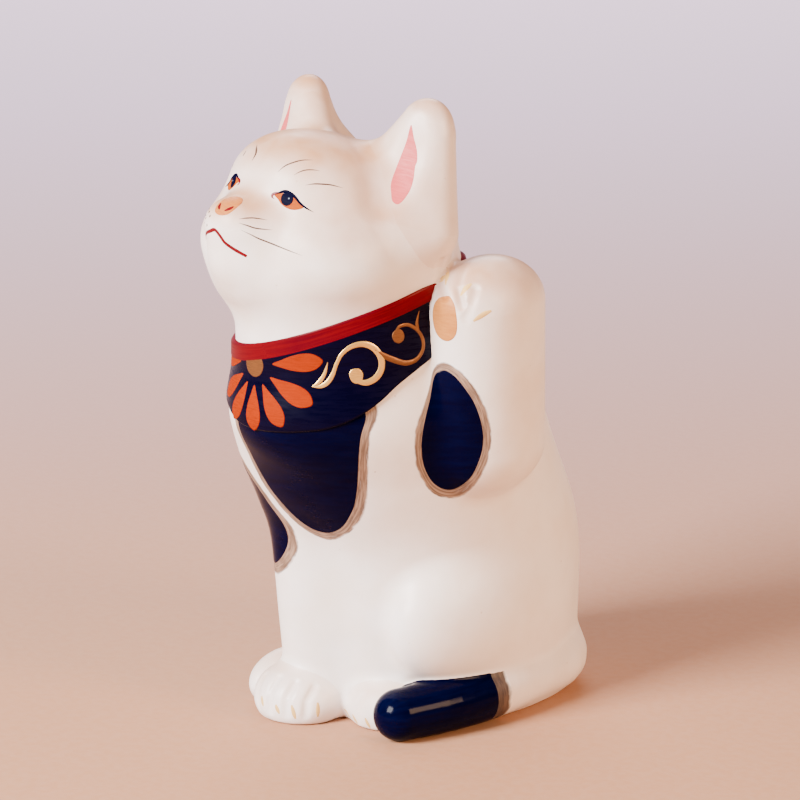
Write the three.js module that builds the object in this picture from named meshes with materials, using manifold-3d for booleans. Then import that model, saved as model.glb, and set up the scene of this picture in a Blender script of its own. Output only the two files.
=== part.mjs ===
// Beckoning cat figurine: hollow press-moulded clay shells with the ears, raised arm, paws, tail, bib and
// neck ribbon luted on, and a vented slab closing the foot. Millimetres, +Z up, front towards -Y, the
// raised arm on the cat's left (+X). The shapes are placed about the middle of the body at the foot.
import * as THREE from "three";
import { ParametricGeometry } from "three/addons/geometries/ParametricGeometry.js";
import { mergeVertices } from "three/addons/utils/BufferGeometryUtils.js";
import Module from "manifold-3d";

const wasm = await Module();
wasm.setup();

// Driving dimensions
const BODY_WIDTH = 82; // across the flanks
const BODY_DEPTH = 104; // chest to back at mid height
const BODY_HEIGHT = 141; // floor to the neck seam, on the middle line
const HEAD_WIDTH = 74; // across the skull
const HEAD_PITCH = 22; // degrees, chin up
const HEAD_YAW = 4; // degrees, towards the cat's right
const EAR_RISE = 32; // ear root to the middle of the rounded tip
const ARM_THICK = 31; // raised arm, side to side
const ARM_TOP = 144; // middle of the raised paw's dome
const TAIL_THICK = 20; // tail at its root
const WALL = 7; // clay wall of the shells
const SLAB = 5; // foot slab
const VENT_BORE = 14; // firing vent through the slab
const BIB_THICK = 1.2;
const RIBBON_THICK = 1.6;
const RIBBON_TALL = 5.5;
const NECK_SIDE_RISE = 0.254; // slope of the neck seam towards the raised arm
const NECK_BACK_RISE = 0.22; // slope of the neck seam towards the back
const GAP = 0.3; // slip joint left open between neighbouring pieces
const OVERSHOOT = 3; // how far a skin runs past a seam before it is trimmed

// Lengths below are stated for the nominal body and follow the driving dimensions.
const KX = BODY_WIDTH / 82,
  KY = BODY_DEPTH / 104,
  KZ = BODY_HEIGHT / 141,
  KH = HEAD_WIDTH / 74;
const at = (x, y, z) => [x * KX, y * KY, z * KZ];
const vec = (p) => new THREE.Vector3(...p);
const rad = THREE.MathUtils.degToRad;

// ---- Signed shapes: negative inside ----
const smin = (a, b, k) => {
  const h = Math.max(k - Math.abs(a - b), 0) / k;
  return Math.min(a, b) - (h * h * k) / 4;
};
const smax = (a, b, k) => -smin(-a, -b, k);

function ball(p, c, r) {
  const d = p.map((v, i) => v - c[i]);
  const k0 = Math.hypot(...d.map((v, i) => v / r[i]));
  const k1 = Math.hypot(...d.map((v, i) => v / (r[i] * r[i]))) + 1e-9;
  return (k0 * (k0 - 1)) / k1;
}

// A tapered rod from a to b; stretch widens its section along an axis.
function limb(p, a, ra, b, rb, stretch = [1, 1, 1]) {
  const q = p.map((v, i) => v / stretch[i]);
  const s = a.map((v, i) => v / stretch[i]);
  const d = b.map((v, i) => v / stretch[i] - s[i]);
  const w = q.map((v, i) => v - s[i]);
  const dot = (m, n) => m[0] * n[0] + m[1] * n[1] + m[2] * n[2];
  const h = THREE.MathUtils.clamp(dot(w, d) / dot(d, d), 0, 1);
  return (Math.hypot(...w.map((v, i) => v - h * d[i])) - ra - (rb - ra) * h) * Math.min(...stretch);
}

// A column of ellipses: [height, middle y, half width, half depth] per station, eased between stations.
function column(stations) {
  const slope = (i, k) => {
    const lo = stations[Math.max(i - 1, 0)],
      hi = stations[Math.min(i + 1, stations.length - 1)];
    return (hi[k] - lo[k]) / (hi[0] - lo[0]);
  };
  return (z) => {
    const last = stations.length - 1;
    const level = THREE.MathUtils.clamp(z, stations[0][0], stations[last][0]);
    let i = 0;
    while (i < last - 1 && level > stations[i + 1][0]) i += 1;
    const [a, b] = [stations[i], stations[i + 1]];
    const h = b[0] - a[0];
    const t = (level - a[0]) / h;
    return [1, 2, 3].map(
      (k) =>
        (2 * t ** 3 - 3 * t ** 2 + 1) * a[k] +
        (t ** 3 - 2 * t ** 2 + t) * h * slope(i, k) +
        (3 * t ** 2 - 2 * t ** 3) * b[k] +
        (t ** 3 - t ** 2) * h * slope(i + 1, k),
    );
  };
}

const scaled = (rows) => rows.map(([z, y, a, b]) => [z * KZ, y * KY, a * KX, b * KY]);
const trunkRows = scaled([
  [-12, 8, 33, 44],
  [0, 8, 36, 48],
  [30, 7, 40, 51],
  [60, 3, 41, 53],
  [85, -10, 41, 56],
  [105, -21, 41, 58],
  [125, -28, 37, 49],
  [145, -35, 34, 42],
  [165, -38, 30, 36],
  [185, -38, 26, 32],
]);
const trunkAt = column(trunkRows);

function trunk(p) {
  const [yc, a, b] = trunkAt(p[2]);
  const x = p[0],
    y = p[1] - yc;
  const k0 = Math.hypot(x / a, y / b);
  const k1 = Math.hypot(x / (a * a), y / (b * b)) + 1e-9;
  return smax((k0 * (k0 - 1)) / k1, p[2] - 168 * KZ, 8);
}

const THIGH = [16 * KX, 38 * KY, 27 * KZ];
const SHOULDER = [29 * KX, 29 * KY, 34 * KZ];
function torso(p) {
  let d = trunk(p);
  for (const side of [1, -1]) d = smin(d, ball(p, at(side * 27, -4, 36), THIGH), 6);
  d = smin(d, ball(p, at(-10, -38, 98), SHOULDER), 8);
  return smin(d, limb(p, at(-13, -42, 72), 14.5 * KX, at(-12.5, -39, 12), 12 * KX), 9);
}

// ---- Head, in its own frame: x left, y back, z up, from the middle of the skull ----
const HEAD = at(-2.5, -38, 165);
const headTurn = new THREE.Matrix4()
  .makeRotationZ(rad(-HEAD_YAW))
  .multiply(new THREE.Matrix4().makeRotationX(rad(-HEAD_PITCH)))
  .scale(new THREE.Vector3(KH, KH, KH))
  .setPosition(vec(HEAD));
const headBack = headTurn.clone().invert();
const inHead = (p) => vec(p).applyMatrix4(headBack).toArray();
const fromHead = (q) => vec(q).applyMatrix4(headTurn).toArray();

function skull(q) {
  let d = smin(ball(q, [0, 1, -3], [37, 37, 31]), ball(q, [0, -19, 8], [26, 24, 19]), 10);
  const side = [Math.abs(q[0]), q[1], q[2]];
  d = smin(d, ball(side, [15, -14, -12], [22, 24, 17]), 10);
  d = smin(d, ball(q, [0, -18, -23], [21, 20, 14]), 12);
  d = smin(d, ball(q, [0, -36.5, -9.5], [13.5, 16.5, 11]), 7);
  return smin(d, ball(q, [0, -34, -20], [11, 12, 9]), 8);
}

const EAR_TIP = EAR_RISE + 8;
const EAR_TURN = rad(28);
// A point of the head, mirrored to the left, about an upright axis and turned to face with the ear.
const inEar = (q, x, y) => {
  const dx = q[0] - x,
    dy = q[1] - y;
  const c = Math.cos(EAR_TURN),
    s = Math.sin(EAR_TURN);
  return [c * dx + s * dy, c * dy - s * dx, q[2]];
};
// The hollow of the ear, an egg lying against its front face.
const dish = (q) => ball(inEar([Math.abs(q[0]), q[1], q[2]], 36, -19.5), [0, 0, 25], [9, 10.5, 18.5]);
function ear(q, side) {
  const s = inEar([side * q[0], q[1], q[2]], 29, -2);
  const cone = limb(s, [-2.5, 2, 8], 14.5, [0, -3, EAR_TIP], 6, [1, 0.85, 1]);
  const back = limb(s, [7.5, 5.5, 6], 9.5, [2.5, -1, EAR_TIP - 5], 6.2, [1, 0.9, 1]);
  const inner = limb(s, [-14, 5, 19], 9, [-2.5, -2, EAR_TIP - 2], 5.5, [1, 0.85, 1]);
  const rear = limb(s, [-5, 22, 16], 9.5, [0, 0, EAR_TIP - 5], 5);
  return smax(smin(smin(smin(cone, back, 6), inner, 6), rear, 5), -dish(q), 5);
}
const head = (p) => {
  const q = inHead(p);
  return smax(skull(q), -dish(q), 5) * KH;
};
const body = (p) => smin(torso(p), head(p), 5);

const ARM_R = ARM_THICK / 2;
const ARM_LOW = at(37, -12, 96);
const ARM_HIGH = [41 * KX, -15 * KY, ARM_TOP * KZ];
const arm = (p) => limb(p, ARM_LOW, ARM_R + 1, ARM_HIGH, ARM_R, [1, 1.35, 1]);

// ---- Skins: rays from a spine out to where a shape ends, as one closed surface ----
const LONGEST_STEP = 3;
function reach(origin, ray, shape) {
  const at = (t) => shape([origin[0] + ray.x * t, origin[1] + ray.y * t, origin[2] + ray.z * t]);
  let inside = 0,
    outside = 0;
  for (let d = at(0); d < 0; d = at(outside)) {
    inside = outside;
    outside += THREE.MathUtils.clamp(-0.85 * d, 0.01, LONGEST_STEP);
  }
  for (let i = 0; i < 14; i += 1) {
    const middle = (inside + outside) / 2;
    if (at(middle) < 0) inside = middle;
    else outside = middle;
  }
  return (inside + outside) / 2;
}

// around and along are the grid's cells. The first and last cap of the length turn the rays from along the
// spine to across it, which rounds the ends.
function skin(shape, spine, around, along, zero = new THREE.Vector3(1, 0, 0), cap = 0.22) {
  const surface = (u, v, target) => {
    const t = THREE.MathUtils.clamp((v - cap) / (1 - 2 * cap), 0, 1);
    const tip = (Math.PI / 2) * (Math.min(v / cap, 1) + Math.max((v - 1 + cap) / cap, 0));
    const tangent = spine.getTangentAt(t);
    const side = new THREE.Vector3().crossVectors(tangent, zero).normalize();
    const front = new THREE.Vector3().crossVectors(side, tangent);
    const turn = 2 * Math.PI * (u % 1);
    const ray = tangent.multiplyScalar(-Math.cos(tip));
    ray.addScaledVector(front, Math.sin(tip) * Math.cos(turn));
    ray.addScaledVector(side, Math.sin(tip) * Math.sin(turn));
    const origin = spine.getPointAt(t);
    target.copy(origin).addScaledVector(ray, reach(origin.toArray(), ray, shape));
  };
  return solid(new ParametricGeometry(surface, around, along));
}

// A three.js geometry as a closed solid: shared corners merged and the slivers at the poles dropped.
function solid(geometry) {
  const bare = new THREE.BufferGeometry();
  bare.setAttribute("position", geometry.getAttribute("position"));
  bare.setIndex(geometry.index);
  const welded = mergeVertices(bare, 1e-3);
  const found = Array.from(welded.index.array);
  const corners = [];
  for (let i = 0; i < found.length; i += 3) {
    const [a, b, c] = found.slice(i, i + 3);
    if (a !== b && b !== c && c !== a) corners.push(a, b, c);
  }
  const build = (triVerts) =>
    new wasm.Manifold(
      new wasm.Mesh({
        numProp: 3,
        vertProperties: new Float32Array(welded.getAttribute("position").array),
        triVerts: new Uint32Array(triVerts),
      }),
    );
  const made = build(corners);
  return made.volume() > 0 ? made : build(corners.reverse());
}

// Keeps what lies on the normal's side of the plane through a point.
const keep = (shape, normal, point) => {
  const n = vec(normal).normalize();
  return shape.trimByPlane(n.toArray(), n.dot(vec(point)));
};

// ---- Seams ----
const NECK = new THREE.Vector3(-NECK_SIDE_RISE, -NECK_BACK_RISE, 1).normalize();
const NECK_POINT = at(0, 0, 148.5);
const aboveNeck = (p) => NECK.dot(vec(p).sub(vec(NECK_POINT)));
const neckAt = (offset) => vec(NECK_POINT).addScaledVector(NECK, offset).toArray();
const line = (...points) => new THREE.CatmullRomCurve3(points.map(vec));

const trunkSpine = line(at(0, 8, 16), at(0, 4, 55), at(0, -12, 96), at(0, -30, 128));
const belowNeck = (p) => aboveNeck(p) - OVERSHOOT;
const wholeTorso = (offset) =>
  skin(
    (p) => Math.max(body(p) - offset, belowNeck(p), -p[2] - OVERSHOOT),
    trunkSpine,
    46,
    34,
  ).trimByPlane([0, 0, 1], 0);
const headSpine = line(fromHead([0, 4, 0]), fromHead([0, -8, -1]));
const wholeHead = (offset) =>
  skin((p) => Math.max(body(p) - offset, -aboveNeck(p) - OVERSHOOT), headSpine, 36, 26,
    new THREE.Vector3(1, 0, 0), 0.45);

// The hollow: an eased stack of ellipses through the body, joined to an egg inside the skull.
function hollow() {
  const rows = [
    [-OVERSHOOT, 8, 20, 30],
    [SLAB + 2, 8, 20, 30],
    ...trunkRows.slice(2, 9).map(([z, y, a, b]) => [z, y, a - WALL, b - WALL]),
  ];
  rows[rows.length - 1][0] = HEAD[2];
  const place = (u, v, target) => {
    const ring = Math.round(v * (rows.length + 1));
    const [z, y, a, b] = rows[THREE.MathUtils.clamp(ring - 1, 0, rows.length - 1)];
    const open = ring > 0 && ring <= rows.length ? 1 : 0;
    const turn = 2 * Math.PI * (u % 1);
    target.set(open * a * Math.cos(turn), y + open * b * Math.sin(turn), z);
  };
  const shaft = solid(new ParametricGeometry(place, 28, rows.length + 1));
  const egg = new THREE.SphereGeometry(1, 22, 14);
  egg.scale(37 - WALL, 37 - WALL, 31 - WALL).translate(0, 1, -3).applyMatrix4(headTurn);
  return shaft.add(solid(egg));
}

// ---- Pieces ----
const torsoSolid = wholeTorso(0);
const headSolid = wholeHead(0);
const torsoRoom = wholeTorso(GAP);
const headRoom = wholeHead(GAP);
const cavity = hollow();

const parting = [0, 1, 0.25];
const split = (shape) => [
  keep(shape, [-parting[0], -parting[1], -parting[2]], at(0, 7 - GAP / 2, 0)),
  keep(shape, parting, at(0, 7 + GAP / 2, 0)),
];
const torsoShell = keep(torsoSolid, [-NECK.x, -NECK.y, -NECK.z], neckAt(-GAP / 2)).subtract(cavity);
const [torsoFront, torsoBack] = split(torsoShell);

const headShell = keep(headSolid, NECK.toArray(), neckAt(GAP / 2)).subtract(cavity);
const headAcross = vec([0, 1, 0]).transformDirection(headTurn);
const headPart = (y) => fromHead([0, 2 + y, 0]);
const face = keep(headShell, headAcross.clone().negate().toArray(), headPart(-GAP / 2));
const headRear = keep(headShell, headAcross.toArray(), headPart(GAP / 2));

const earSkin = (side, offset) =>
  skin(
    (p) => ear(inHead(p), side) * KH - offset,
    line(fromHead([side * 28, 3, 8]), fromHead([side * 29, -2, EAR_TIP - 6])),
    24,
    20,
    new THREE.Vector3(1, 0, 0),
    0.3,
  );
const leftEar = earSkin(1, 0).subtract(headRoom).subtract(torsoRoom);
const rightEar = earSkin(-1, 0).subtract(headRoom).subtract(torsoRoom);

const armSkin = (offset) => skin((p) => arm(p) - offset, line(ARM_LOW, ARM_HIGH), 26, 18);
const armRoom = armSkin(GAP);
const raisedArm = armSkin(0)
  .subtract(torsoRoom)
  .subtract(headRoom)
  .subtract(earSkin(1, GAP));

const TAIL_PATH = line(
  at(-3, 46, 11),
  at(12.5, 45, 11),
  at(27, 33.5, 10.5),
  at(31.5, 14, 10),
  at(34, -5, 9.5),
  at(33, -25, 9),
  at(28.7, -43, 8.5),
);
const TAIL_R = TAIL_THICK / 2;
const tailPoints = TAIL_PATH.getPoints(24).map((p) => p.toArray());
const tailRadius = (i) => TAIL_R * (1.1 - (0.25 * i) / 24);
function tailShape(p) {
  let d = Infinity;
  for (let i = 0; i < 24; i += 1)
    d = Math.min(d, limb(p, tailPoints[i], tailRadius(i), tailPoints[i + 1], tailRadius(i + 1)));
  return d;
}
const tailSkin = (offset) =>
  skin((p) => Math.max(tailShape(p) - offset, -p[2] - OVERSHOOT), TAIL_PATH, 18, 28,
    new THREE.Vector3(0, 0, 1), 0.1).trimByPlane([0, 0, 1], 0);
const largest = (shape) => shape.decompose().sort((a, b) => b.volume() - a.volume())[0];
const tail = largest(tailSkin(0).subtract(torsoRoom));
const tailRoom = tailSkin(GAP);

function paw(centre, radii, offset = 0) {
  const egg = new THREE.SphereGeometry(1, 20, 12);
  egg.scale(...radii.map((r) => r + offset)).translate(...centre);
  return solid(egg).trimByPlane([0, 0, 1], 0);
}
const FORE = [at(-14, -47, 6), [16 * KX, 15 * KY, 12 * KZ]];
const HIND = [at(13, -29, 6), [15 * KX, 17 * KY, 12 * KZ]];
const FAR_HIND = [at(-32, -36, 6), [8 * KX, 16 * KY, 10 * KZ]];
const foreRoom = paw(...FORE, GAP);
const rightForepaw = largest(paw(...FORE).subtract(torsoRoom));
const leftHindPaw = largest(paw(...HIND).subtract(torsoRoom).subtract(foreRoom).subtract(tailRoom));
const rightHindPaw = largest(paw(...FAR_HIND).subtract(torsoRoom).subtract(foreRoom));

// The bib: a clay skin on the chest, between the ribbon and a lower hem that climbs to the sides.
const bibTop = neckAt(-RIBBON_TALL / 2 - GAP);
function hemCutter() {
  const outline = new THREE.Shape();
  outline.moveTo(-120 * KY, 105 * KZ);
  outline.lineTo(-71 * KY, 105.5 * KZ);
  outline.lineTo(-61 * KY, 111 * KZ);
  outline.lineTo(-40 * KY, 126 * KZ);
  outline.lineTo(-8 * KY, 150 * KZ);
  outline.lineTo(-8 * KY, 190 * KZ);
  outline.lineTo(-120 * KY, 190 * KZ);
  const block = new THREE.ExtrudeGeometry(outline, { depth: 120 * KX, bevelEnabled: false });
  block.rotateY(Math.PI / 2).rotateX(Math.PI / 2).translate(-60 * KX, 0, 0);
  return solid(block);
}
const bib = largest(
  keep(wholeTorso(GAP + BIB_THICK).subtract(torsoRoom), NECK.clone().negate().toArray(), bibTop)
    .intersect(hemCutter())
    .subtract(armRoom),
);

const neckSpine = line(vec(at(-1, -34, 141)).addScaledVector(NECK, -8).toArray(),
  vec(at(-1, -34, 141)).addScaledVector(NECK, 8).toArray());
const neckSkin = (offset) =>
  skin((p) => Math.max(body(p) - offset, Math.abs(aboveNeck(p)) - 10), neckSpine, 44, 16);
const ribbonBand = neckSkin(GAP + RIBBON_THICK).subtract(torsoRoom).subtract(headRoom);
const ribbon = largest(
  keep(keep(ribbonBand, NECK.toArray(), neckAt(-RIBBON_TALL / 2)), NECK.clone().negate().toArray(),
    neckAt(RIBBON_TALL / 2))
    .subtract(armRoom)
    .subtract(earSkin(1, GAP))
    .subtract(earSkin(-1, GAP)),
);

function footSlab() {
  const disc = new THREE.CylinderGeometry(1, 1, SLAB, 48).rotateX(Math.PI / 2);
  disc.scale(20 - 2 * GAP, 30 - 2 * GAP, 1).translate(0, 8, SLAB / 2);
  const bore = new THREE.CylinderGeometry(VENT_BORE / 2, VENT_BORE / 2, 3 * SLAB, 40);
  bore.rotateX(Math.PI / 2).translate(0, 8, 0);
  return solid(disc).subtract(solid(bore));
}

// ---- Assembly ----
const CLAY = { color: 0xebdad3, roughness: 0.5 };
const NAVY = { color: 0x0c0123, roughness: 0.35 };
const RED = { color: 0xa30110, roughness: 0.45 };

function mesh(name, shape, finish) {
  const { vertProperties, triVerts } = shape.getMesh();
  const geometry = new THREE.BufferGeometry();
  geometry.setAttribute("position", new THREE.BufferAttribute(new Float32Array(vertProperties), 3));
  geometry.setIndex(new THREE.BufferAttribute(new Uint32Array(triVerts), 1));
  geometry.computeVertexNormals();
  const made = new THREE.Mesh(geometry, new THREE.MeshStandardMaterial(finish));
  made.name = name;
  return made;
}

const cat = new THREE.Group();
cat.name = "beckoning_cat";
cat.add(
  mesh("torso_front_shell", torsoFront, CLAY),
  mesh("torso_back_shell", torsoBack, CLAY),
  mesh("face_shell", face, CLAY),
  mesh("head_back_shell", headRear, CLAY),
  mesh("left_ear", largest(leftEar), CLAY),
  mesh("right_ear", largest(rightEar), CLAY),
  mesh("raised_arm", largest(raisedArm), CLAY),
  mesh("right_forepaw", rightForepaw, CLAY),
  mesh("left_hind_paw", leftHindPaw, CLAY),
  mesh("right_hind_paw", rightHindPaw, CLAY),
  mesh("tail", tail, CLAY),
  mesh("bib", bib, NAVY),
  mesh("neck_ribbon", ribbon, RED),
  mesh("foot_slab", footSlab(), CLAY),
);
// The frame's origin is the middle of the overall box's underside.
const box = new THREE.Box3().setFromObject(cat);
const middle = box.getCenter(new THREE.Vector3());
cat.position.set(-middle.x, -middle.y, 0);
export default cat;
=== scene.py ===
"""Beckoning cat figurine: the visible clay, paint and studio around its packed clay parts.

Lengths inside the shape functions are millimetres about the middle of the body at the foot: x to the
cat's left, y to its back, z up. put() turns them into metres in the frame.
"""
import math

import bpy
import numpy as np
from bpy.props import FloatProperty, FloatVectorProperty, PointerProperty
from bpy.types import Operator, Panel, PropertyGroup
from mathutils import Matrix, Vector


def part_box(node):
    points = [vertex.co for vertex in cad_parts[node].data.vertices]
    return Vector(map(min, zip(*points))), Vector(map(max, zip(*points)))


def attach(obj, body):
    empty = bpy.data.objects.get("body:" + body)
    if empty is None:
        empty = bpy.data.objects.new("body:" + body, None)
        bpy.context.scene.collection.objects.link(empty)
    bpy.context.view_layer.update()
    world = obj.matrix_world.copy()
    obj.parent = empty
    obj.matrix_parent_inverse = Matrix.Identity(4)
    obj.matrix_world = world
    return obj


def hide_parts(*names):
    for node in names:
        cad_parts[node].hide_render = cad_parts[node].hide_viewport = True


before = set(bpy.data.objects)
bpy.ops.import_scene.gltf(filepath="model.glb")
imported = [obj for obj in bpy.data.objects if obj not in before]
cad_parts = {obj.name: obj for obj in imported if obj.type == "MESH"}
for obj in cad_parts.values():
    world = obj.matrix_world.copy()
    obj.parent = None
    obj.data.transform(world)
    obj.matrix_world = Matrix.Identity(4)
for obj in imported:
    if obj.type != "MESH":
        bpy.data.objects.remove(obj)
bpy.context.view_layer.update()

bl_info = {
    "name": "Beckoning Cat Figurine",
    "version": (1, 0, 0),
    "blender": (4, 5, 0),
    "location": "View3D > Sidebar > Beckoning Cat",
    "description": "Builds a hand-painted clay beckoning cat around its packed parts",
    "category": "Add Mesh",
}

F = np.float32
MM = 0.001


# ---------------------------------------------------------------- frame

SLAB_BACK = 8  # mm from the middle of the body back to the middle of the foot slab


def body_middle():
    """The frame's point, in mm, where the shapes have x = y = 0: SLAB_BACK in front of the slab's middle."""
    low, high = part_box("foot_slab")
    middle = (np.array(low) + np.array(high)) / 2 / MM
    return np.array([middle[0], middle[1] - SLAB_BACK, 0.0])


MIDDLE = body_middle()


def put(points):
    """Metres in the frame = (millimetres about the body's middle + that middle) / 1000."""
    return ((np.asarray(points, float) + MIDDLE) * MM).astype(F)


# ---------------------------------------------------------------- signed shapes, negative inside

def smin(a, b, k):
    """The smaller of two distances, rounded over where they differ by less than k."""
    h = np.maximum(k - np.abs(a - b), 0) / k
    return np.minimum(a, b) - h * h * k * F(0.25)


def smax(a, b, k):
    """The larger of two distances, rounded the same way."""
    return -smin(-a, -b, k)


def ball(p, centre, radii):
    """An egg: q the point over the radii, |q| (|q| - 1) over the length of q over the radii."""
    q = p - np.array(centre, F)
    r = np.array(radii, F)
    k0 = np.linalg.norm(q / r, axis=-1)
    k1 = np.linalg.norm(q / (r * r), axis=-1) + F(1e-6)
    return k0 * (k0 - 1) / k1


def limb(p, a, ra, b, rb, stretch=(1, 1, 1)):
    """A tapered rod: distance to the segment a-b less a radius running from ra to rb, in stretched space."""
    s = np.array(stretch, F)
    q, a, b = p / s, np.array(a, F) / s, np.array(b, F) / s
    along = b - a
    t = np.clip((q - a) @ along / (along @ along), 0, 1)
    return (np.linalg.norm(q - a - t[:, None] * along, axis=-1) - (ra + (rb - ra) * t)) * s.min()


def turned(axis, degrees):
    """The matrix that turns points about an axis by an angle."""
    a = math.radians(degrees)
    c, s = math.cos(a), math.sin(a)
    return np.array({
        "x": [[1, 0, 0], [0, c, -s], [0, s, c]],
        "y": [[c, 0, s], [0, 1, 0], [-s, 0, c]],
        "z": [[c, -s, 0], [s, c, 0], [0, 0, 1]],
    }[axis], F)


def through(points, count):
    """A Catmull-Rom curve through the points, sampled at count even steps of its length."""
    p = np.array(points, float)
    p = np.vstack([2 * p[0] - p[1], p, 2 * p[-1] - p[-2]])

    def sample(t):
        i = np.minimum(t.astype(int), len(points) - 2)
        u = (t - i)[:, None]
        a, b, c, d = p[i], p[i + 1], p[i + 2], p[i + 3]
        return 0.5 * (2 * b + (c - a) * u + (2 * a - 5 * b + 4 * c - d) * u ** 2
                      + (3 * b - a - 3 * c + d) * u ** 3)

    fine = np.linspace(0, len(points) - 1, 40 * len(points))
    run = np.concatenate([[0], np.cumsum(np.linalg.norm(np.diff(sample(fine), axis=0), axis=1))])
    return sample(np.interp(np.linspace(0, run[-1], count), run, fine))


# Trunk stations: height, middle y, half width, half depth.
TRUNK = np.array([
    (-12, 8, 33, 44), (0, 8, 36, 48), (30, 7, 40, 51), (60, 3, 41, 53), (85, -10, 41, 56),
    (105, -21, 41, 58), (125, -28, 37, 49), (145, -35, 34, 42), (165, -38, 30, 36), (185, -38, 26, 32),
], float)


def eased_stations():
    """The stations eased by cubic Hermite curves, on a fine table of heights."""
    z = np.linspace(TRUNK[0, 0], TRUNK[-1, 0], 800)
    slope = np.gradient(TRUNK[:, 1:], TRUNK[:, 0], axis=0)
    i = np.clip(np.searchsorted(TRUNK[:, 0], z, side="right") - 1, 0, len(TRUNK) - 2)
    h = (TRUNK[i + 1, 0] - TRUNK[i, 0])[:, None]
    u = (z[:, None] - TRUNK[i, :1]) / h
    rows = ((2 * u ** 3 - 3 * u ** 2 + 1) * TRUNK[i, 1:] + (u ** 3 - 2 * u ** 2 + u) * h * slope[i]
            + (3 * u ** 2 - 2 * u ** 3) * TRUNK[i + 1, 1:] + (u ** 3 - u ** 2) * h * slope[i + 1])
    return z, rows.T


TRUNK_Z, TRUNK_ROWS = eased_stations()


def trunk(p):
    """A column of ellipses whose middle and half sizes follow the eased stations, rounded off at the top."""
    yc, a, b = (np.interp(p[:, 2], TRUNK_Z, row).astype(F) for row in TRUNK_ROWS)
    x, y = p[:, 0], p[:, 1] - yc
    k0 = np.sqrt((x / a) ** 2 + (y / b) ** 2)
    k1 = np.sqrt((x / (a * a)) ** 2 + (y / (b * b)) ** 2) + F(1e-6)
    return smax(k0 * (k0 - 1) / k1, p[:, 2] - 168, 8)


def torso(p):
    """Trunk, both thighs and the standing foreleg, run together."""
    d = trunk(p)
    for side in (1, -1):
        d = smin(d, ball(p, (side * 27, -4, 36), (16, 38, 27)), 6)
    d = smin(d, ball(p, (-10, -38, 98), (29, 29, 34)), 8)
    return smin(d, limb(p, (-13, -42, 72), 14.5, (-12.5, -39, 12), 12), 9)


HEAD = np.array([-2.5, -38, 165], F)
HEAD_TURN = turned("z", -4) @ turned("x", -22)


def in_head(p):
    """Points in the head's own frame: x left, y back, z up."""
    return (p - HEAD) @ HEAD_TURN


def from_head(q):
    """Points of the head's own frame, back in the body's."""
    return HEAD + np.array(q, F) @ HEAD_TURN.T


def mirrored(q):
    """The points, with x made positive."""
    return np.stack([np.abs(q[:, 0]), q[:, 1], q[:, 2]], -1)


def skull(q):
    """Skull, brow, cheeks, jaw, muzzle and chin, run together."""
    d = smin(ball(q, (0, 1, -3), (37, 37, 31)), ball(q, (0, -19, 8), (26, 24, 19)), 10)
    d = smin(d, ball(mirrored(q), (15, -14, -12), (22, 24, 17)), 10)
    d = smin(d, ball(q, (0, -18, -23), (21, 20, 14)), 12)
    d = smin(d, ball(q, (0, -36.5, -9.5), (13.5, 16.5, 11)), 7)
    return smin(d, ball(q, (0, -34, -20), (11, 12, 9)), 8)


EAR_TIP = 40
EAR_MIDDLE = np.array([29, -2, 0], F)
EAR_TURN = turned("z", 28)


def ear(q, side):
    """One ear: a cone, its thick outer back and its inner root, run together."""
    s = (q * np.array([side, 1, 1], F) - EAR_MIDDLE) @ EAR_TURN
    cone = limb(s, (-2.5, 2, 8), 14.5, (0, -3, EAR_TIP), 6, (1, 0.85, 1))
    back = limb(s, (7.5, 5.5, 6), 9.5, (2.5, -1, EAR_TIP - 5), 6.2, (1, 0.9, 1))
    inner = limb(s, (-14, 5, 19), 9, (-2.5, -2, EAR_TIP - 2), 5.5, (1, 0.85, 1))
    rear = limb(s, (-5, 22, 16), 9.5, (0, 0, EAR_TIP - 5), 5)
    return smin(smin(smin(cone, back, 6), inner, 6), rear, 5)


def dish(q):
    """The hollow of either ear: an egg lying against its front."""
    s = (mirrored(q) - np.array([36, -19.5, 25], F)) @ turned("z", 28)
    return ball(s, (0, 0, 0), (9, 10.5, 18.5))


TAIL_PATH = [(-3, 46, 11), (12.5, 45, 11), (27, 33.5, 10.5), (31.5, 14, 10), (34, -5, 9.5),
             (33, -25, 9), (28.7, -43, 8.5)]
TAIL_LINE = through(TAIL_PATH, 25).astype(F)
TAIL_RADII = np.linspace(11, 8.5, 25)


def tail(p):
    """The tail: rods along its path, thinning towards the tip."""
    d = None
    for a, b, ra, rb in zip(TAIL_LINE[:-1], TAIL_LINE[1:], TAIL_RADII[:-1], TAIL_RADII[1:]):
        rod = limb(p, a, ra, b, rb)
        d = rod if d is None else np.minimum(d, rod)
    return d


def arm(p):
    """The raised foreleg and paw."""
    return limb(p, (37, -12, 96), 16.5, (41, -15, 144), 15.5, (1, 1.35, 1))


FORE = ((-14, -47, 6), (16, 15, 12))
HIND = ((13, -29, 6), (15, 17, 12))
FAR_HIND = ((-32, -36, 6), (8, 16, 10))

# Lines scored between the toes: three points each, on the raised paw, the forepaw and the hind paw.
GROOVES = [
    [(37, -33, 160), (36, -32.5, 154), (40.5, -34.5, 149)],
    [(40, -25, 159.5), (43.5, -32, 153), (47.5, -34, 147)],
    [(49, -29.5, 152), (50, -32.5, 147.5), (49, -34, 143)],
    [(-21.6, -56.5, 13.5), (-21, -60.5, 8.5), (-20, -61.5, 4)],
    [(-13.6, -57.5, 15), (-14, -61.5, 10), (-13.3, -62.5, 4)],
    [(-7.1, -56, 14.3), (-7, -60.3, 9.6), (-6.5, -61, 4)],
    [(-1.9, -52.3, 12.9), (-1.5, -56.2, 9), (-1.2, -57, 4)],
    [(6, -44, 11), (4.5, -45.6, 6.5), (4.5, -45.5, 2)],
    [(12, -45, 11.5), (11.5, -46.6, 6.5), (11.5, -46.4, 2)],
]
GROOVE_RADIUS = 0.75


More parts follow.
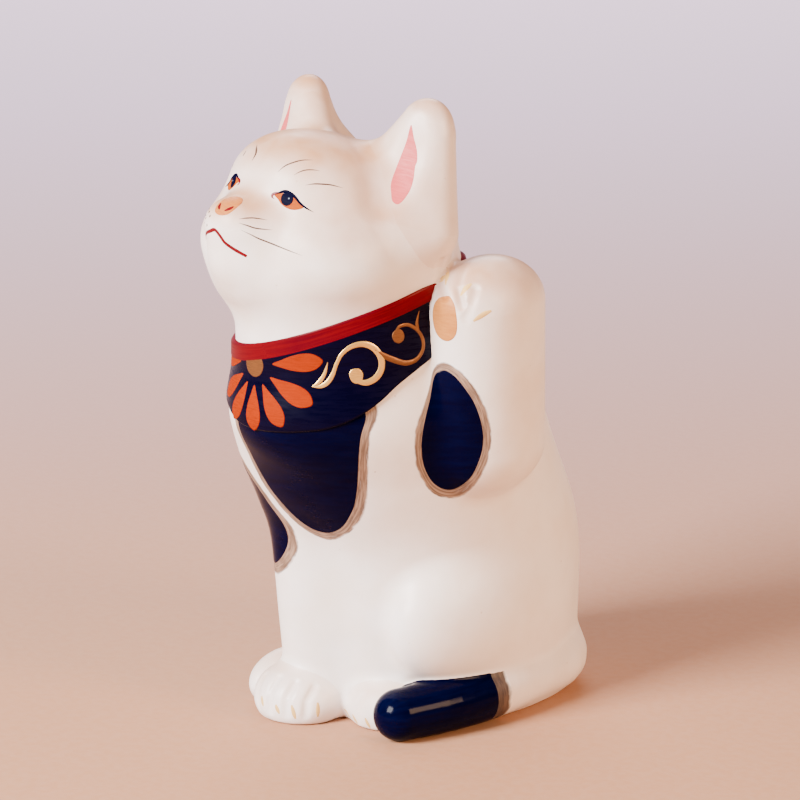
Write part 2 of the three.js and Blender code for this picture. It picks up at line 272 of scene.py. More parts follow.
def grooves(p):
    """Distance to the scored lines, worked out only near the floor and the raised paw."""
    d = np.full(len(p), 9, F)
    near = np.where((p[:, 1] < -20) & ((p[:, 2] < 20) | ((p[:, 2] > 138) & (p[:, 0] > 28))))[0]
    if len(near):
        q, best = p[near], d[near]
        for line in GROOVES:
            for a, b in zip(line[:-1], line[1:]):
                best = np.minimum(best, limb(q, a, GROOVE_RADIUS, b, GROOVE_RADIUS))
        d[near] = best
    return d


NECK = np.array([-0.254, -0.22, 1.0])
NECK /= np.linalg.norm(NECK)
NECK_POINT = np.array([0, 0, 148.5])


def above_neck(p):
    """Distance above the neck seam's plane."""
    return ((p - NECK_POINT.astype(F)) @ NECK.astype(F)).astype(F)


def own(p):
    """The distance to each part taken alone."""
    q = in_head(p)
    return {
        "torso": torso(p), "skull": skull(q), "ear_l": ear(q, 1), "ear_r": ear(q, -1), "dish": dish(q),
        "arm": arm(p), "tail": tail(p),
        "fore": ball(p, *FORE), "hind": ball(p, *HIND), "far": ball(p, *FAR_HIND), "grooves": grooves(p),
    }


def fused(d, p):
    """The whole clay body: each part run into its neighbours, the ears hollowed, and cut off by the floor."""
    body = smin(d["torso"], smin(smin(d["fore"], d["hind"], 2), d["far"], 2), 4)
    body = smin(smin(body, d["arm"], 5), d["tail"], 3)
    head = smin(d["skull"], np.minimum(d["ear_l"], d["ear_r"]), 7)
    head = smax(head, -d["dish"], 5)
    return smax(smax(smin(body, head, 5), -d["grooves"], 2), -p[:, 2], 1.2)


def whole(p):
    """The fused body's distance at points."""
    return fused(own(p), p)


def bare(p):
    """The body and head without arm, tail, paws or ears: what the bib and ribbon lie on."""
    return smin(torso(p), skull(in_head(p)), 5)


# ---------------------------------------------------------------- territories

REACH_PAST = 1.2   # how far a clay piece runs on beyond its seam
SINK = 0.3         # it sinks there under its neighbour by this times the square of the way past


def past_seam(name, d, p):
    """How far points lie beyond a piece's own seams, negative inside its territory."""
    base = np.minimum(d["torso"], d["skull"])
    ears = np.minimum(d["ear_l"], d["ear_r"])
    paws = np.minimum(np.minimum(d["fore"], d["hind"]), d["far"])
    if name == "torso":
        rest = np.minimum(np.minimum(d["arm"], d["tail"]), np.minimum(paws, ears))
        return np.maximum(above_neck(p), base - rest)
    if name == "head":
        return np.maximum(-above_neck(p), base - np.minimum(ears, d["arm"]))
    if name in ("ear_l", "ear_r"):
        return d[name] - np.minimum(base, d["arm"])
    if name == "arm":
        return d["arm"] - np.minimum(base, ears)
    if name == "tail":
        return d["tail"] - np.minimum(base, paws)
    others = [d[k] for k in ("fore", "hind", "far") if k != name]
    return d[name] - np.minimum(np.minimum(base, d["tail"]), np.minimum(*others))


def piece_shape(name):
    """A piece: the fused body inside its territory, sinking under its neighbours just beyond each seam."""
    def shape(p):
        d = own(p)
        s = past_seam(name, d, p)
        return np.maximum(fused(d, p) + SINK * np.maximum(s, 0) ** 2, s - REACH_PAST)
    return shape


# ---------------------------------------------------------------- skins

CAUTION = 0.85               # the shapes' distances are this much to be trusted
SHORTEST, LONGEST = 0.02, 3  # mm, of one step along a ray
STEPS_MOST, HALVINGS = 220, 9


def reach(origins, rays, shape):
    """Distance along each ray to where the shape ends: steps of CAUTION of its depth, the last one halved."""
    near = np.zeros(len(rays), F)
    far = np.zeros(len(rays), F)
    live = np.arange(len(rays))
    for _ in range(STEPS_MOST):
        value = shape(origins[live] + rays[live] * far[live, None])
        inside = value < 0
        live, value = live[inside], value[inside]
        if not len(live):
            break
        near[live] = far[live]
        far[live] += np.clip(-CAUTION * value, SHORTEST, LONGEST)
    wide = np.where(far - near > 0.021)[0]
    for _ in range(HALVINGS):
        middle = (near[wide] + far[wide]) / 2
        inside = shape(origins[wide] + rays[wide] * middle[:, None]) < 0
        near[wide] = np.where(inside, middle, near[wide])
        far[wide] = np.where(inside, far[wide], middle)
    return (near + far) / 2


def slope_of(shape, p, step=0.08):
    """The unit gradient of a shape, by central differences."""
    axes = np.eye(3, dtype=F) * F(step)
    g = np.stack([shape(p + a) - shape(p - a) for a in axes], -1)
    return g / (np.linalg.norm(g, axis=-1, keepdims=True) + 1e-9)


def unit(v):
    """Vectors made one long."""
    v = np.asarray(v, float)
    return v / np.maximum(np.linalg.norm(v, axis=-1, keepdims=True), 1e-9)


def rays_from(spine, around, along, zero, first_cap, last_cap, crowd=0.0):
    """Rays (run, turn) -> spine(run) and a direction across it.

    Over the first and last cap of the run the rays swing between along the spine and across it, which
    rounds the ends. crowd bunches the turns round the zero direction.
    """
    v = np.linspace(0, 1, along + 1)
    line = through(spine, 60)
    t = np.clip((v - first_cap) / (1 - first_cap - last_cap), 0, 1) * 59
    at = np.stack([np.interp(t, np.arange(60), line[:, k]) for k in range(3)], -1)
    steps = unit(np.gradient(line, axis=0))
    tangent = unit(np.stack([np.interp(t, np.arange(60), steps[:, k]) for k in range(3)], -1))
    side = unit(np.cross(tangent, np.array(zero, float)))
    front = np.cross(side, tangent)
    start = np.minimum(v / first_cap, 1) if first_cap else np.ones_like(v)
    end = np.maximum((v - 1 + last_cap) / last_cap, 0)
    tip = np.pi / 2 * (start + end)
    u = np.arange(around) / around
    turn = 2 * np.pi * u - crowd * np.sin(2 * np.pi * u)
    across = (np.cos(turn)[None, :, None] * front[:, None] + np.sin(turn)[None, :, None] * side[:, None])
    rays = -np.cos(tip)[:, None, None] * tangent[:, None] + np.sin(tip)[:, None, None] * across
    origins = np.broadcast_to(at[:, None], rays.shape)
    return origins.reshape(-1, 3).astype(F), rays.reshape(-1, 3).astype(F), rays.shape


def skin(shape, spine, around, along, zero=(0, -1, 0), cap=0.25, crowd=0.0):
    """Rings of points where a shape ends, seen from a spine, and the two poles."""
    o, r, size = rays_from(spine, around, along, zero, cap, cap, crowd)
    p = (o + r * reach(o, r, shape)[:, None]).reshape(size)
    return p[1:-1], p[0, 0], p[-1, 0]


def closed_faces(rows, cols):
    """Quads between rings and a fan of triangles at each pole, the poles numbered last."""
    j = np.arange(cols)
    k = (j + 1) % cols
    low = np.stack([np.full(cols, rows * cols), k, j], -1)
    last = (rows - 1) * cols
    high = np.stack([np.full(cols, rows * cols + 1), last + j, last + k], -1)
    return sheet_faces(rows, cols, True), np.concatenate([low, high])


def sheet_faces(rows, cols, round_cols=False):
    """Quads over an open grid, joined round its columns where asked."""
    n = cols if round_cols else cols - 1
    i, j = np.meshgrid(np.arange(rows - 1), np.arange(n), indexing="ij")
    k = (j + 1) % cols
    return np.stack([i * cols + j, i * cols + k, (i + 1) * cols + k, (i + 1) * cols + j], -1).reshape(-1, 4)


NO_TRIANGLES = np.zeros((0, 3), int)


def outward(points, faces, normals):
    """The faces, each turned over where it looks against the surface's own normals."""
    if not len(faces):
        return faces
    a, b, c = (points[faces[:, k]] for k in range(3))
    looks = np.sum(np.cross(b - a, c - a) * normals[faces[:, 0]], -1)
    against = looks.sum() < 0
    return faces[:, ::-1] if against else faces


def make(name, points, normals, quads, triangles=NO_TRIANGLES, material=None, slot=None, replaces=(),
         **values):
    """A mesh object from whole arrays of points in mm and corner numbers; values become float attributes."""
    points, normals = np.asarray(points, float), np.asarray(normals, float)
    quads, triangles = outward(points, quads, normals), outward(points, triangles, normals)
    mesh = bpy.data.meshes.new(name)
    mesh.vertices.add(len(points))
    mesh.vertices.foreach_set("co", put(points).ravel())
    corners = np.concatenate([quads.ravel(), triangles.ravel()]).astype(np.int32)
    sizes = np.concatenate([np.full(len(quads), 4), np.full(len(triangles), 3)]).astype(np.int32)
    mesh.loops.add(len(corners))
    mesh.loops.foreach_set("vertex_index", corners)
    mesh.polygons.add(len(sizes))
    mesh.polygons.foreach_set("loop_start", np.concatenate([[0], np.cumsum(sizes)[:-1]]).astype(np.int32))
    mesh.polygons.foreach_set("use_smooth", np.ones(len(sizes), bool))
    mesh.update(calc_edges=True)
    mesh.validate()
    for key, value in values.items():
        mesh.attributes.new(key, "FLOAT", "POINT").data.foreach_set("value", np.asarray(value, F).ravel())
    mesh.normals_split_custom_set_from_vertices(normals.tolist())
    piece = bpy.data.objects.new(name, mesh)
    bpy.context.scene.collection.objects.link(piece)
    mesh.materials.append(material)
    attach(piece, "root")
    if replaces:
        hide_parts(*replaces)
    return piece


def detail(count):
    return max(12, int(count * (1)))


def clay_piece(name, part, nodes, spine, around, along, zero=(0, -1, 0), cap=0.25, crowd=0.0, tint=(0, 0.3)):
    """One white clay piece: its skin, with the fused body's own slope as normals wherever it shows.

    Its attributes: crease = how closely the clay folds in on itself within 2 mm of the point, the mask of
    painted shade in the folds; and the cream share = a flat cream wash plus a share of how far the surface
    looks up, which is painted warm top light.
    """
    shape = piece_shape(part)
    rings, low, high = skin(shape, spine, detail(around), detail(along), zero, cap, crowd)
    p = np.concatenate([rings.reshape(-1, 3), [low, high]]).astype(F)
    s = past_seam(part, own(p), p)
    normals = slope_of(whole, p)
    inner = s > REACH_PAST - 0.05
    if inner.any():
        normals[inner] = slope_of(shape, p[inner])
    quads, triangles = closed_faces(*rings.shape[:2])
    # painted shade: how much clay lies 2 mm out along the normal, later greying the folds
    hollow = np.clip((1.75 - whole(p + normals * F(2))) / 1.5, 0, 1)
    # a flat cream wash plus painted warm top light on faces that look up
    cream = tint[0] + tint[1] * np.clip(normals[:, 2], 0, 1)
    return make(name, p, normals, quads, triangles, finish("whitened_clay"), "white_clay", nodes,
                crease=hollow, tint=cream)


# ---------------------------------------------------------------- charts on the clay

def upright(x, y, radius, start=0.0):
    """Chart round an upright axis: (mm round from the front, height) -> a level ray, begun start mm out."""
    def chart(uv):
        t = uv[:, 0] / radius
        rays = np.stack([np.sin(t), -np.cos(t), 0 * t], -1)
        return np.stack([x + 0 * t, y + 0 * t, uv[:, 1]], -1) + rays * start, rays
    return chart


def globe(centre, radius, turn=np.eye(3), middle=0.0, side=1):
    """Chart round a point: (mm round from the front, mm up) -> a ray outwards. side -1 mirrors it."""
    def chart(uv):
        lon, lat = (side * uv[:, 0] + middle) / radius, uv[:, 1] / radius
        rays = np.stack([np.sin(lon) * np.cos(lat), -np.cos(lon) * np.cos(lat), np.sin(lat)], -1)
        return np.broadcast_to(np.array(centre, float), rays.shape), rays @ turn.T
    return chart


def ear_front(side):
    """Chart on the ear's hollow: (head x, head z) -> a ray forwards from the ear's middle sheet."""
    def chart(uv):
        origins = np.stack([side * uv[:, 0], np.full(len(uv), -4.0), uv[:, 1]], -1)
        rays = np.broadcast_to(np.array([0.0, -1.0, 0.0]) @ HEAD_TURN.T, origins.shape)
        return HEAD + origins @ HEAD_TURN.T, rays
    return chart


FACE_MIDDLE = 2.0  # the face is painted a little to the left of the moulded middle
BODY_CHART = upright(0, -15, 60)
FLANK_OF_ARM = upright(26, 16, 54, 23)
PAW_CHART = globe((38, -10, 136), 24)
FORE_CHART = globe(FORE[0], 15)
HIND_CHART = globe(HIND[0], 17)


def face_chart(side=1):
    """Chart on the face; side -1 is the cat's right half."""
    return globe(from_head((0, -14, -5)), 40, HEAD_TURN, FACE_MIDDLE, side)


def land(chart, uv, shape):
    """Where the chart's rays leave the shape."""
    origins, rays = chart(np.asarray(uv, float))
    o, r = origins.astype(F), rays.astype(F)
    return (o + r * reach(o, r, shape)[:, None]).astype(F)


def loop(points, count):
    """A closed Catmull-Rom curve, the same share of the count between each pair of points."""
    p = np.array(points, float)
    t = np.arange(count) / count * len(p)
    i = t.astype(int)
    u = (t - i)[:, None]
    a, b, c, d = (p[(i + k) % len(p)] for k in (-1, 0, 1, 2))
    return 0.5 * (2 * b + (c - a) * u + (2 * a - 5 * b + 4 * c - d) * u ** 2
                  + (3 * b - a - 3 * c + d) * u ** 3)


# ---------------------------------------------------------------- paint

DIP = 0.04  # paint edges end this far under the clay, in mm


def rounded(depth, rim, thick):
    """Paint thickness at a distance in from its edge: a quarter circle up from just under the clay."""
    return (thick + DIP) * np.sqrt(1 - (1 - np.clip(depth / rim, 0, 1)) ** 2) - DIP


def dab(chart, outline, thick=0.12, shape=whole, around=96, rings=10, rim=0.25, centre=None):
    """Paint inside an outline: (ring, turn) -> centre + ring * (outline(turn) - centre), on the clay."""
    edge = loop(outline, around)
    centre = edge.mean(0) if centre is None else np.array(centre, float)
    size = np.linalg.norm(edge - centre, axis=1).mean()
    share = np.concatenate([np.linspace(0, 1 - rim / size, rings + 1)[1:],
                            1 - np.array([0.6, 0.3, 0.1, 0.0]) * rim / size])
    uv = centre + share[:, None, None] * (edge - centre)
    p = land(chart, np.concatenate([uv.reshape(-1, 2), [centre]]), shape)
    n = slope_of(shape, p)
    out = unit(p - p[-1])
    depth = np.append(np.repeat((1 - share) * size, around), size)
    tilt = np.clip(1 - depth / rim, 0, 1)[:, None] * 1.2
    pole, j = len(share) * around, np.arange(around)
    fan = np.stack([np.full(around, pole), j, (j + 1) % around], -1)
    return dict(points=p + n * rounded(depth, rim, thick)[:, None], normals=unit(n + out * tilt),
                quads=sheet_faces(len(share), around, True), triangles=fan,
                run=np.append(uv[..., 0].ravel(), centre[0]), across=np.append(uv[..., 1].ravel(), centre[1]))


def border(chart, inner, outer, thick=0.06, shape=whole, around=200, rows=9):
    """Thin wash between two outlines with as many points: (row, turn) -> inner + row * (outer - inner)."""
    a, b = loop(inner, around), loop(outer, around)
    s = np.linspace(-0.12, 1, rows)
    uv = a + s[:, None, None] * (b - a)
    p = land(chart, uv.reshape(-1, 2), shape)
    n = slope_of(shape, p)
    lift = np.repeat(rounded((1 - s) * 3, 0.3, thick), around)
    length = np.append(0, np.cumsum(np.linalg.norm(np.diff(a, axis=0), axis=1)))
    return dict(points=p + n * lift[:, None], normals=n, quads=sheet_faces(rows, around, True),
                triangles=NO_TRIANGLES, run=np.tile(length, rows), across=np.repeat(s, around))


def stroke(chart, path, widths, thick=0.1, shape=whole, across=7, count=None):
    """A brush stroke: (run, s) -> path(run) + s * half width(run) sideways, pressed on the clay and domed."""
    rough = np.linalg.norm(np.diff(np.array(path, float), axis=0), axis=1).sum()
    count = count or int(np.clip(rough / 0.35, 22, 120))
    c = land(chart, through(path, count), shape)
    n = slope_of(shape, c)
    side = unit(np.cross(n, unit(np.gradient(c, axis=0))))
    half = np.interp(np.linspace(0, 1, count), np.linspace(0, 1, len(widths)), widths) / 2
    half = np.convolve(np.pad(half, 2, "edge"), np.full(5, 0.2), "valid")
    s = np.linspace(-1, 1, across)
    p = (c[:, None] + side[:, None] * (half[:, None] * s)[..., None]).reshape(-1, 3).astype(F)
    for _ in range(3):
        g = slope_of(shape, p)
        p = (p - g * shape(p)[:, None]).astype(F)
    g = slope_of(shape, p)
    high = np.minimum(thick, 0.03 + 0.35 * half)
    lift = ((high + DIP)[:, None] * np.sqrt(1 - s ** 2) - DIP).ravel()
    tilt = (np.sign(s) * s ** 2 * 0.8)[None, :, None] * side[:, None]
    run = np.append(0, np.cumsum(np.linalg.norm(np.diff(c, axis=0), axis=1)))
    return dict(points=p + g * lift[:, None], normals=unit(g + tilt.reshape(-1, 3)),
                quads=sheet_faces(count, across), triangles=NO_TRIANGLES,
                run=np.repeat(run, across), across=(half[:, None] * s).ravel())


def together(parts):
    """Several paint sheets as one set of arrays, each sheet's faces turned outwards first."""
    start, whole_set = 0, {key: [] for key in parts[0]}
    for part in parts:
        for key, value in part.items():
            if key in ("quads", "triangles"):
                value = outward(part["points"], value, part["normals"]) + start
            whole_set[key].append(value)
        start += len(part["points"])
    return {key: np.concatenate(values) for key, values in whole_set.items()}


def paint(name, parts, material, slot=None, replaces=()):
    """One named piece from one or more paint sheets."""
    sheets = together(parts if isinstance(parts, list) else [parts])
    return make(name, material=finish(material), slot=slot, replaces=replaces, **sheets)


# ---------------------------------------------------------------- finishes

def srgb(r, g, b):
    """A display colour, 0 to 255, as linear light."""
    c = np.array([r, g, b]) / 255
    c = np.where(c <= 0.04045, c / 12.92, ((c + 0.055) / 1.055) ** 2.4)
    return tuple(float(v) for v in c)


def add(tree, kind, settings=None, **inputs):
    """A node with its settings; an input is a value or another node's output. _0 names a socket by number."""
    made = tree.nodes.new(kind)
    for key, value in (settings or {}).items():
        setattr(made, key, value)
    for key, value in inputs.items():
        socket = made.inputs[int(key[1:])] if key[0] == "_" else made.inputs[key.replace("_", " ")]
        if isinstance(value, bpy.types.NodeSocket):
            tree.links.new(value, socket)
        else:
            socket.default_value = value
    return made


def sums(tree, kind, a, b=0.0, clamp=False):
    """The output of a Math node."""
    return add(tree, "ShaderNodeMath", {"operation": kind, "use_clamp": clamp}, _0=a, _1=b).outputs[0]


def ramp(tree, value, low, high, to_low=0.0, to_high=1.0):
    """A value eased from one range to another."""
    return add(tree, "ShaderNodeMapRange", {"interpolation_type": "SMOOTHSTEP"}, _0=value, _1=low, _2=high,
               _3=to_low, _4=to_high).outputs[0]


def mixed(tree, share, a, b):
    """Two colours mixed by a share."""
    a, b = ((*v, 1.0) if isinstance(v, tuple) and len(v) == 3 else v for v in (a, b))
    return add(tree, "ShaderNodeMix", {"data_type": "RGBA"}, _0=share, _6=a, _7=b).outputs[2]


def noise(tree, vector, scale, rough=0.5, layers=3.0):
    """The value of a noise texture."""
    return add(tree, "ShaderNodeTexNoise", Vector=vector, Scale=scale, Detail=layers,
               Roughness=rough).outputs["Fac"]


def group(name, inputs, outputs):
    """A new shader node group with its sockets, and its two end nodes."""
    tree = bpy.data.node_groups.new(name, "ShaderNodeTree")
    for label, kind, value in inputs:
        socket = tree.interface.new_socket(name=label, in_out="INPUT", socket_type=kind)
        if value is not None:
            socket.default_value = value
    for label, kind in outputs:
        tree.interface.new_socket(name=label, in_out="OUTPUT", socket_type=kind)
    return tree, tree.nodes.new("NodeGroupInput"), tree.nodes.new("NodeGroupOutput")


FLOAT, VECTOR = "NodeSocketFloat", "NodeSocketVector"


def clay_grain():
    """Group: cloudy tone, fine grain height and pinholes of brushed-on whiting over clay."""
    if "clay_grain" in bpy.data.node_groups:
        return bpy.data.node_groups["clay_grain"]
    tree, inlet, outlet = group(
        "clay_grain", [("Vector", VECTOR, None), ("Cloud Scale", FLOAT, 45.0), ("Grain Scale", FLOAT, 900.0)],
        [("Tone", FLOAT), ("Height", FLOAT), ("Pinholes", FLOAT)])
    where = inlet.outputs["Vector"]
    cloud = noise(tree, where, inlet.outputs["Cloud Scale"], 0.55)
    grain = noise(tree, where, inlet.outputs["Grain Scale"], 0.6, 2.0)
    swell = noise(tree, where, 160.0, 0.5, 2.0)
    height = sums(tree, "ADD", sums(tree, "MULTIPLY", grain, 0.25), swell)
    pits = add(tree, "ShaderNodeTexVoronoi", Vector=where, Scale=260.0).outputs["Distance"]
    keep = ramp(tree, noise(tree, where, 70.0), 0.56, 0.66)
    links = tree.links.new
    links(cloud, outlet.inputs["Tone"])
    links(height, outlet.inputs["Height"])
    links(sums(tree, "MULTIPLY", ramp(tree, pits, 0.06, 0.12, 1.0, 0.0), keep), outlet.inputs["Pinholes"])
    return tree


def brush_streaks():
    """Group: streaks drawn out along a stroke, from its run and across attributes in mm."""
    if "brush_streaks" in bpy.data.node_groups:
        return bpy.data.node_groups["brush_streaks"]
    tree, inlet, outlet = group(
        "brush_streaks",
        [("Run", FLOAT, 0.0), ("Across", FLOAT, 0.0), ("Length", FLOAT, 6.0), ("Width", FLOAT, 0.5)],
        [("Streak", FLOAT), ("Height", FLOAT)])
    along = sums(tree, "DIVIDE", inlet.outputs["Run"], inlet.outputs["Length"])
    over = sums(tree, "DIVIDE", inlet.outputs["Across"], inlet.outputs["Width"])
    where = add(tree, "ShaderNodeCombineXYZ", X=along, Y=over).outputs[0]
    streak = noise(tree, where, 1.0, 0.6)
    tree.links.new(ramp(tree, streak, 0.3, 0.7), outlet.inputs["Streak"])
    tree.links.new(streak, outlet.inputs["Height"])
    return tree


def fold_dirt():
    """Group: a mask of painted shade that gathers in creases, broken up by a tone."""
    if "fold_dirt" in bpy.data.node_groups:
        return bpy.data.node_groups["fold_dirt"]
    tree, inlet, outlet = group(
        "fold_dirt",
        [("Crease", FLOAT, 0.0), ("Tone", FLOAT, 0.5), ("Amount", FLOAT, 1.0)],
        [("Mask", FLOAT)])
    patchy = ramp(tree, inlet.outputs["Tone"], 0.2, 0.8, 0.6, 1.2)
    broken = sums(tree, "MULTIPLY", inlet.outputs["Crease"], patchy)
    tree.links.new(sums(tree, "MULTIPLY", ramp(tree, broken, 0.15, 1.0), inlet.outputs["Amount"], True),
                   outlet.inputs["Mask"])
    return tree


def use(tree, which, **inputs):
    """A placed node group."""
    made = tree.nodes.new("ShaderNodeGroup")
    made.node_tree = which
    for key, value in inputs.items():
        socket = made.inputs[key.replace("_", " ")]
        if isinstance(value, bpy.types.NodeSocket):
            tree.links.new(value, socket)
        else:
            socket.default_value = value
    return made


def blank(name):
    """A new material, its tree, its shader, and object coordinates."""
    material = bpy.data.materials.new(name)
    material.use_nodes = True
    tree = material.node_tree
    return material, tree, tree.nodes["Principled BSDF"], add(tree, "ShaderNodeTexCoord").outputs["Object"]


def attribute(tree, name):
    """A float attribute of the mesh."""
    return add(tree, "ShaderNodeAttribute", {"attribute_name": name}).outputs["Fac"]


def bump(tree, shader, height, distance, strength=1.0):
    """A bump in metres on the shader's normal."""
    made = add(tree, "ShaderNodeBump", Strength=strength, Distance=distance, Height=height)
    tree.links.new(made.outputs["Normal"], shader.inputs["Normal"])


def whitened_clay():
    """Whiting over clay: cloudy off-white, a cream wash with painted warm top light by an attribute, and
    painted shade greying the folds.
    """
    colours = bpy.context.scene.cat_colours
    material, tree, shader, where = blank("whitened_clay")
    grain = use(tree, clay_grain(), Vector=where)
    tone = grain.outputs["Tone"]
    white = mixed(tree, ramp(tree, tone, 0.3, 0.7), tuple(colours.white), tuple(colours.white_cloud))
    patchy = ramp(tree, tone, 0.25, 0.75, 0.75, 1.15)
    # cream wash, and painted warm top light where the surface faces up
    cream_share = sums(tree, "MULTIPLY", attribute(tree, "tint"), patchy, True)
    creamed = mixed(tree, cream_share, white, tuple(colours.cream))
    # painted shade: the folds greyed by the crease attribute
    fold_shade_mask = use(tree, fold_dirt(), Crease=attribute(tree, "crease"), Tone=tone, Amount=0.55)
    folded = mixed(tree, fold_shade_mask.outputs["Mask"], creamed, tuple(colours.fold))
    pitted = mixed(tree, sums(tree, "MULTIPLY", grain.outputs["Pinholes"], 0.35), folded, tuple(colours.fold))
    tree.links.new(pitted, shader.inputs["Base Color"])
    tree.links.new(ramp(tree, tone, 0.3, 0.7, 0.36, 0.46), shader.inputs["Roughness"])
    pits = sums(tree, "MULTIPLY", grain.outputs["Pinholes"], -0.6)
    bump(tree, shader, sums(tree, "ADD", grain.outputs["Height"], pits), 0.00012, 0.8)
    shader.inputs["Specular IOR Level"].default_value = 0.4
    return material


def painted(name, first, second, roughness, length, width, metal=0.0, coat=0.0, shine=0.2, relief=0.00003):
    """Brushed paint: two tones in streaks along the stroke, which also vary its gloss and raise it."""
    material, tree, shader, where = blank(name)
    streaks = use(tree, brush_streaks(), Run=attribute(tree, "run"), Across=attribute(tree, "across"),
                  Length=length, Width=width)
    grain = use(tree, clay_grain(), Vector=where)
    patchy = ramp(tree, grain.outputs["Tone"], 0.3, 0.7, 0.5, 1.0)
    share = sums(tree, "MULTIPLY", streaks.outputs["Streak"], patchy)
    tree.links.new(mixed(tree, share, first, second), shader.inputs["Base Color"])
    tree.links.new(ramp(tree, streaks.outputs["Streak"], 0.0, 1.0, *roughness), shader.inputs["Roughness"])
    grains = sums(tree, "MULTIPLY", grain.outputs["Height"], 0.6)
    bump(tree, shader, sums(tree, "ADD", streaks.outputs["Height"], grains), relief)
    shader.inputs["Metallic"].default_value = metal
    shader.inputs["Coat Weight"].default_value = coat
    shader.inputs["Coat Roughness"].default_value = 0.1
    shader.inputs["Specular IOR Level"].default_value = shine
    return material


def wash(name, light, dark):
    """Watery grey-brown wash: streaks along the edge, thinning to the white beneath at its outer side."""
    colours = bpy.context.scene.cat_colours
    material, tree, shader, where = blank(name)
    run, across = attribute(tree, "run"), attribute(tree, "across")
    streaks = use(tree, brush_streaks(), Run=run, Across=across, Length=7.0, Width=0.16)
    tone = use(tree, clay_grain(), Vector=where, Cloud_Scale=220.0).outputs["Tone"]
    paint_colour = mixed(tree, streaks.outputs["Streak"], light, dark)
    edge = sums(tree, "ADD", across, sums(tree, "MULTIPLY", sums(tree, "SUBTRACT", tone, 0.5), 0.5))
    bare_share = ramp(tree, edge, 0.72, 1.02)
    thin = sums(tree, "MAXIMUM", bare_share, ramp(tree, streaks.outputs["Height"], 0.62, 0.8, 0.0, 0.5))
    tree.links.new(mixed(tree, thin, paint_colour, tuple(colours.white)), shader.inputs["Base Color"])
    tree.links.new(ramp(tree, tone, 0.3, 0.7, 0.38, 0.5), shader.inputs["Roughness"])
    bump(tree, shader, streaks.outputs["Height"], 0.00004)
    return material


def unglazed_clay():
    """Unglazed fired clay: sandy, speckled and rough."""
    colours = bpy.context.scene.cat_colours
    material, tree, shader, where = blank("unglazed_clay")
    grain = use(tree, clay_grain(), Vector=where, Cloud_Scale=90.0, Grain_Scale=1600.0)
    sandy = mixed(tree, ramp(tree, grain.outputs["Tone"], 0.3, 0.7), tuple(colours.bare), srgb(176, 138, 110))
    speckled = mixed(tree, grain.outputs["Pinholes"], sandy, srgb(120, 88, 68))
    tree.links.new(speckled, shader.inputs["Base Color"])
    tree.links.new(ramp(tree, grain.outputs["Tone"], 0.3, 0.7, 0.8, 0.95), shader.inputs["Roughness"])
    bump(tree, shader, grain.outputs["Height"], 0.0003)
    return material


# Brushed paints: first tone, a colour property or display colour; second tone; roughness from and to;
# length and width of the streaks in mm; then what differs from the usual gloss and relief.
PAINTS = {
    "bib_navy": ("bib_navy", (2, 0, 26), (0.24, 0.36), 9, 1.4, {"shine": 0.06}),
    "patch_navy": ("patch_navy", (0, 2, 34), (0.1, 0.18), 12, 2.0, {"coat": 0.02, "shine": 0.03}),
    "ribbon_red": ("red", (76, 0, 16), (0.3, 0.4), 16, 0.9, {"shine": 0.06, "relief": 0.00002}),
    "petal_orange": ("orange", (120, 32, 0), (0.5, 0.6), 4, 0.5, {"shine": 0.02, "relief": 0.00001}),
    "gold_paint": ("gold", (206, 152, 76), (0.3, 0.46), 4, 0.25, {"metal": 0.75}),
    "bronze_paint": ("bronze", (84, 54, 30), (0.34, 0.5), 3, 0.3, {"metal": 0.55}),
    "ear_pink": ("pink", (190, 76, 80), (0.45, 0.6), 4, 0.6, {}),
    "nose_tan": ("tan", (170, 96, 40), (0.4, 0.5), 3, 0.7, {}),
    "line_red": ("line_red", (84, 2, 16), (0.25, 0.4), 4, 0.2, {"shine": 0.15}),
    "iris_orange": ("iris", (150, 58, 0), (0.4, 0.5), 3, 0.5, {"shine": 0.03, "relief": 0.00001}),
    "eye_navy": ("patch_navy", (0, 0, 30), (0.3, 0.4), 4, 0.8, {"shine": 0.01, "relief": 0.000004}),
    # painted highlight on each pupil
    "eye_light": ((120, 128, 146), (90, 98, 120), (0.3, 0.4), 1, 0.2, {}),
    "hair_brown": ("hair", (92, 62, 46), (0.4, 0.5), 3, 0.15, {}),
    "pad_tan": ((188, 124, 62), (174, 108, 50), (0.42, 0.52), 4, 0.8, {}),
    "claw_cream": ("claw", (214, 172, 100), (0.4, 0.5), 3, 0.4, {}),
}
WASHES = {  # light tone, dark tone
    "patch_wash": ("wash", (84, 60, 48)),
    "tail_wash": ((92, 72, 62), (44, 34, 36)),
}
CLAYS = {"whitened_clay": whitened_clay, "unglazed_clay": unglazed_clay}


def tone_of(value):
    """A colour property by its name, or a display colour, as linear light."""
    return tuple(getattr(bpy.context.scene.cat_colours, value) if isinstance(value, str) else srgb(*value))


def finish(name):
    """A material by name, made the first time it is asked for."""
    if name in bpy.data.materials:
        return bpy.data.materials[name]
    if name in CLAYS:
        return CLAYS[name]()
    if name in WASHES:
        return wash(name, *map(tone_of, WASHES[name]))
    first, second, roughness, length, width, more = PAINTS[name]
    return painted(name, tone_of(first), tone_of(second), roughness, length, width, **more)


# ---------------------------------------------------------------- sizes and colours a user would change

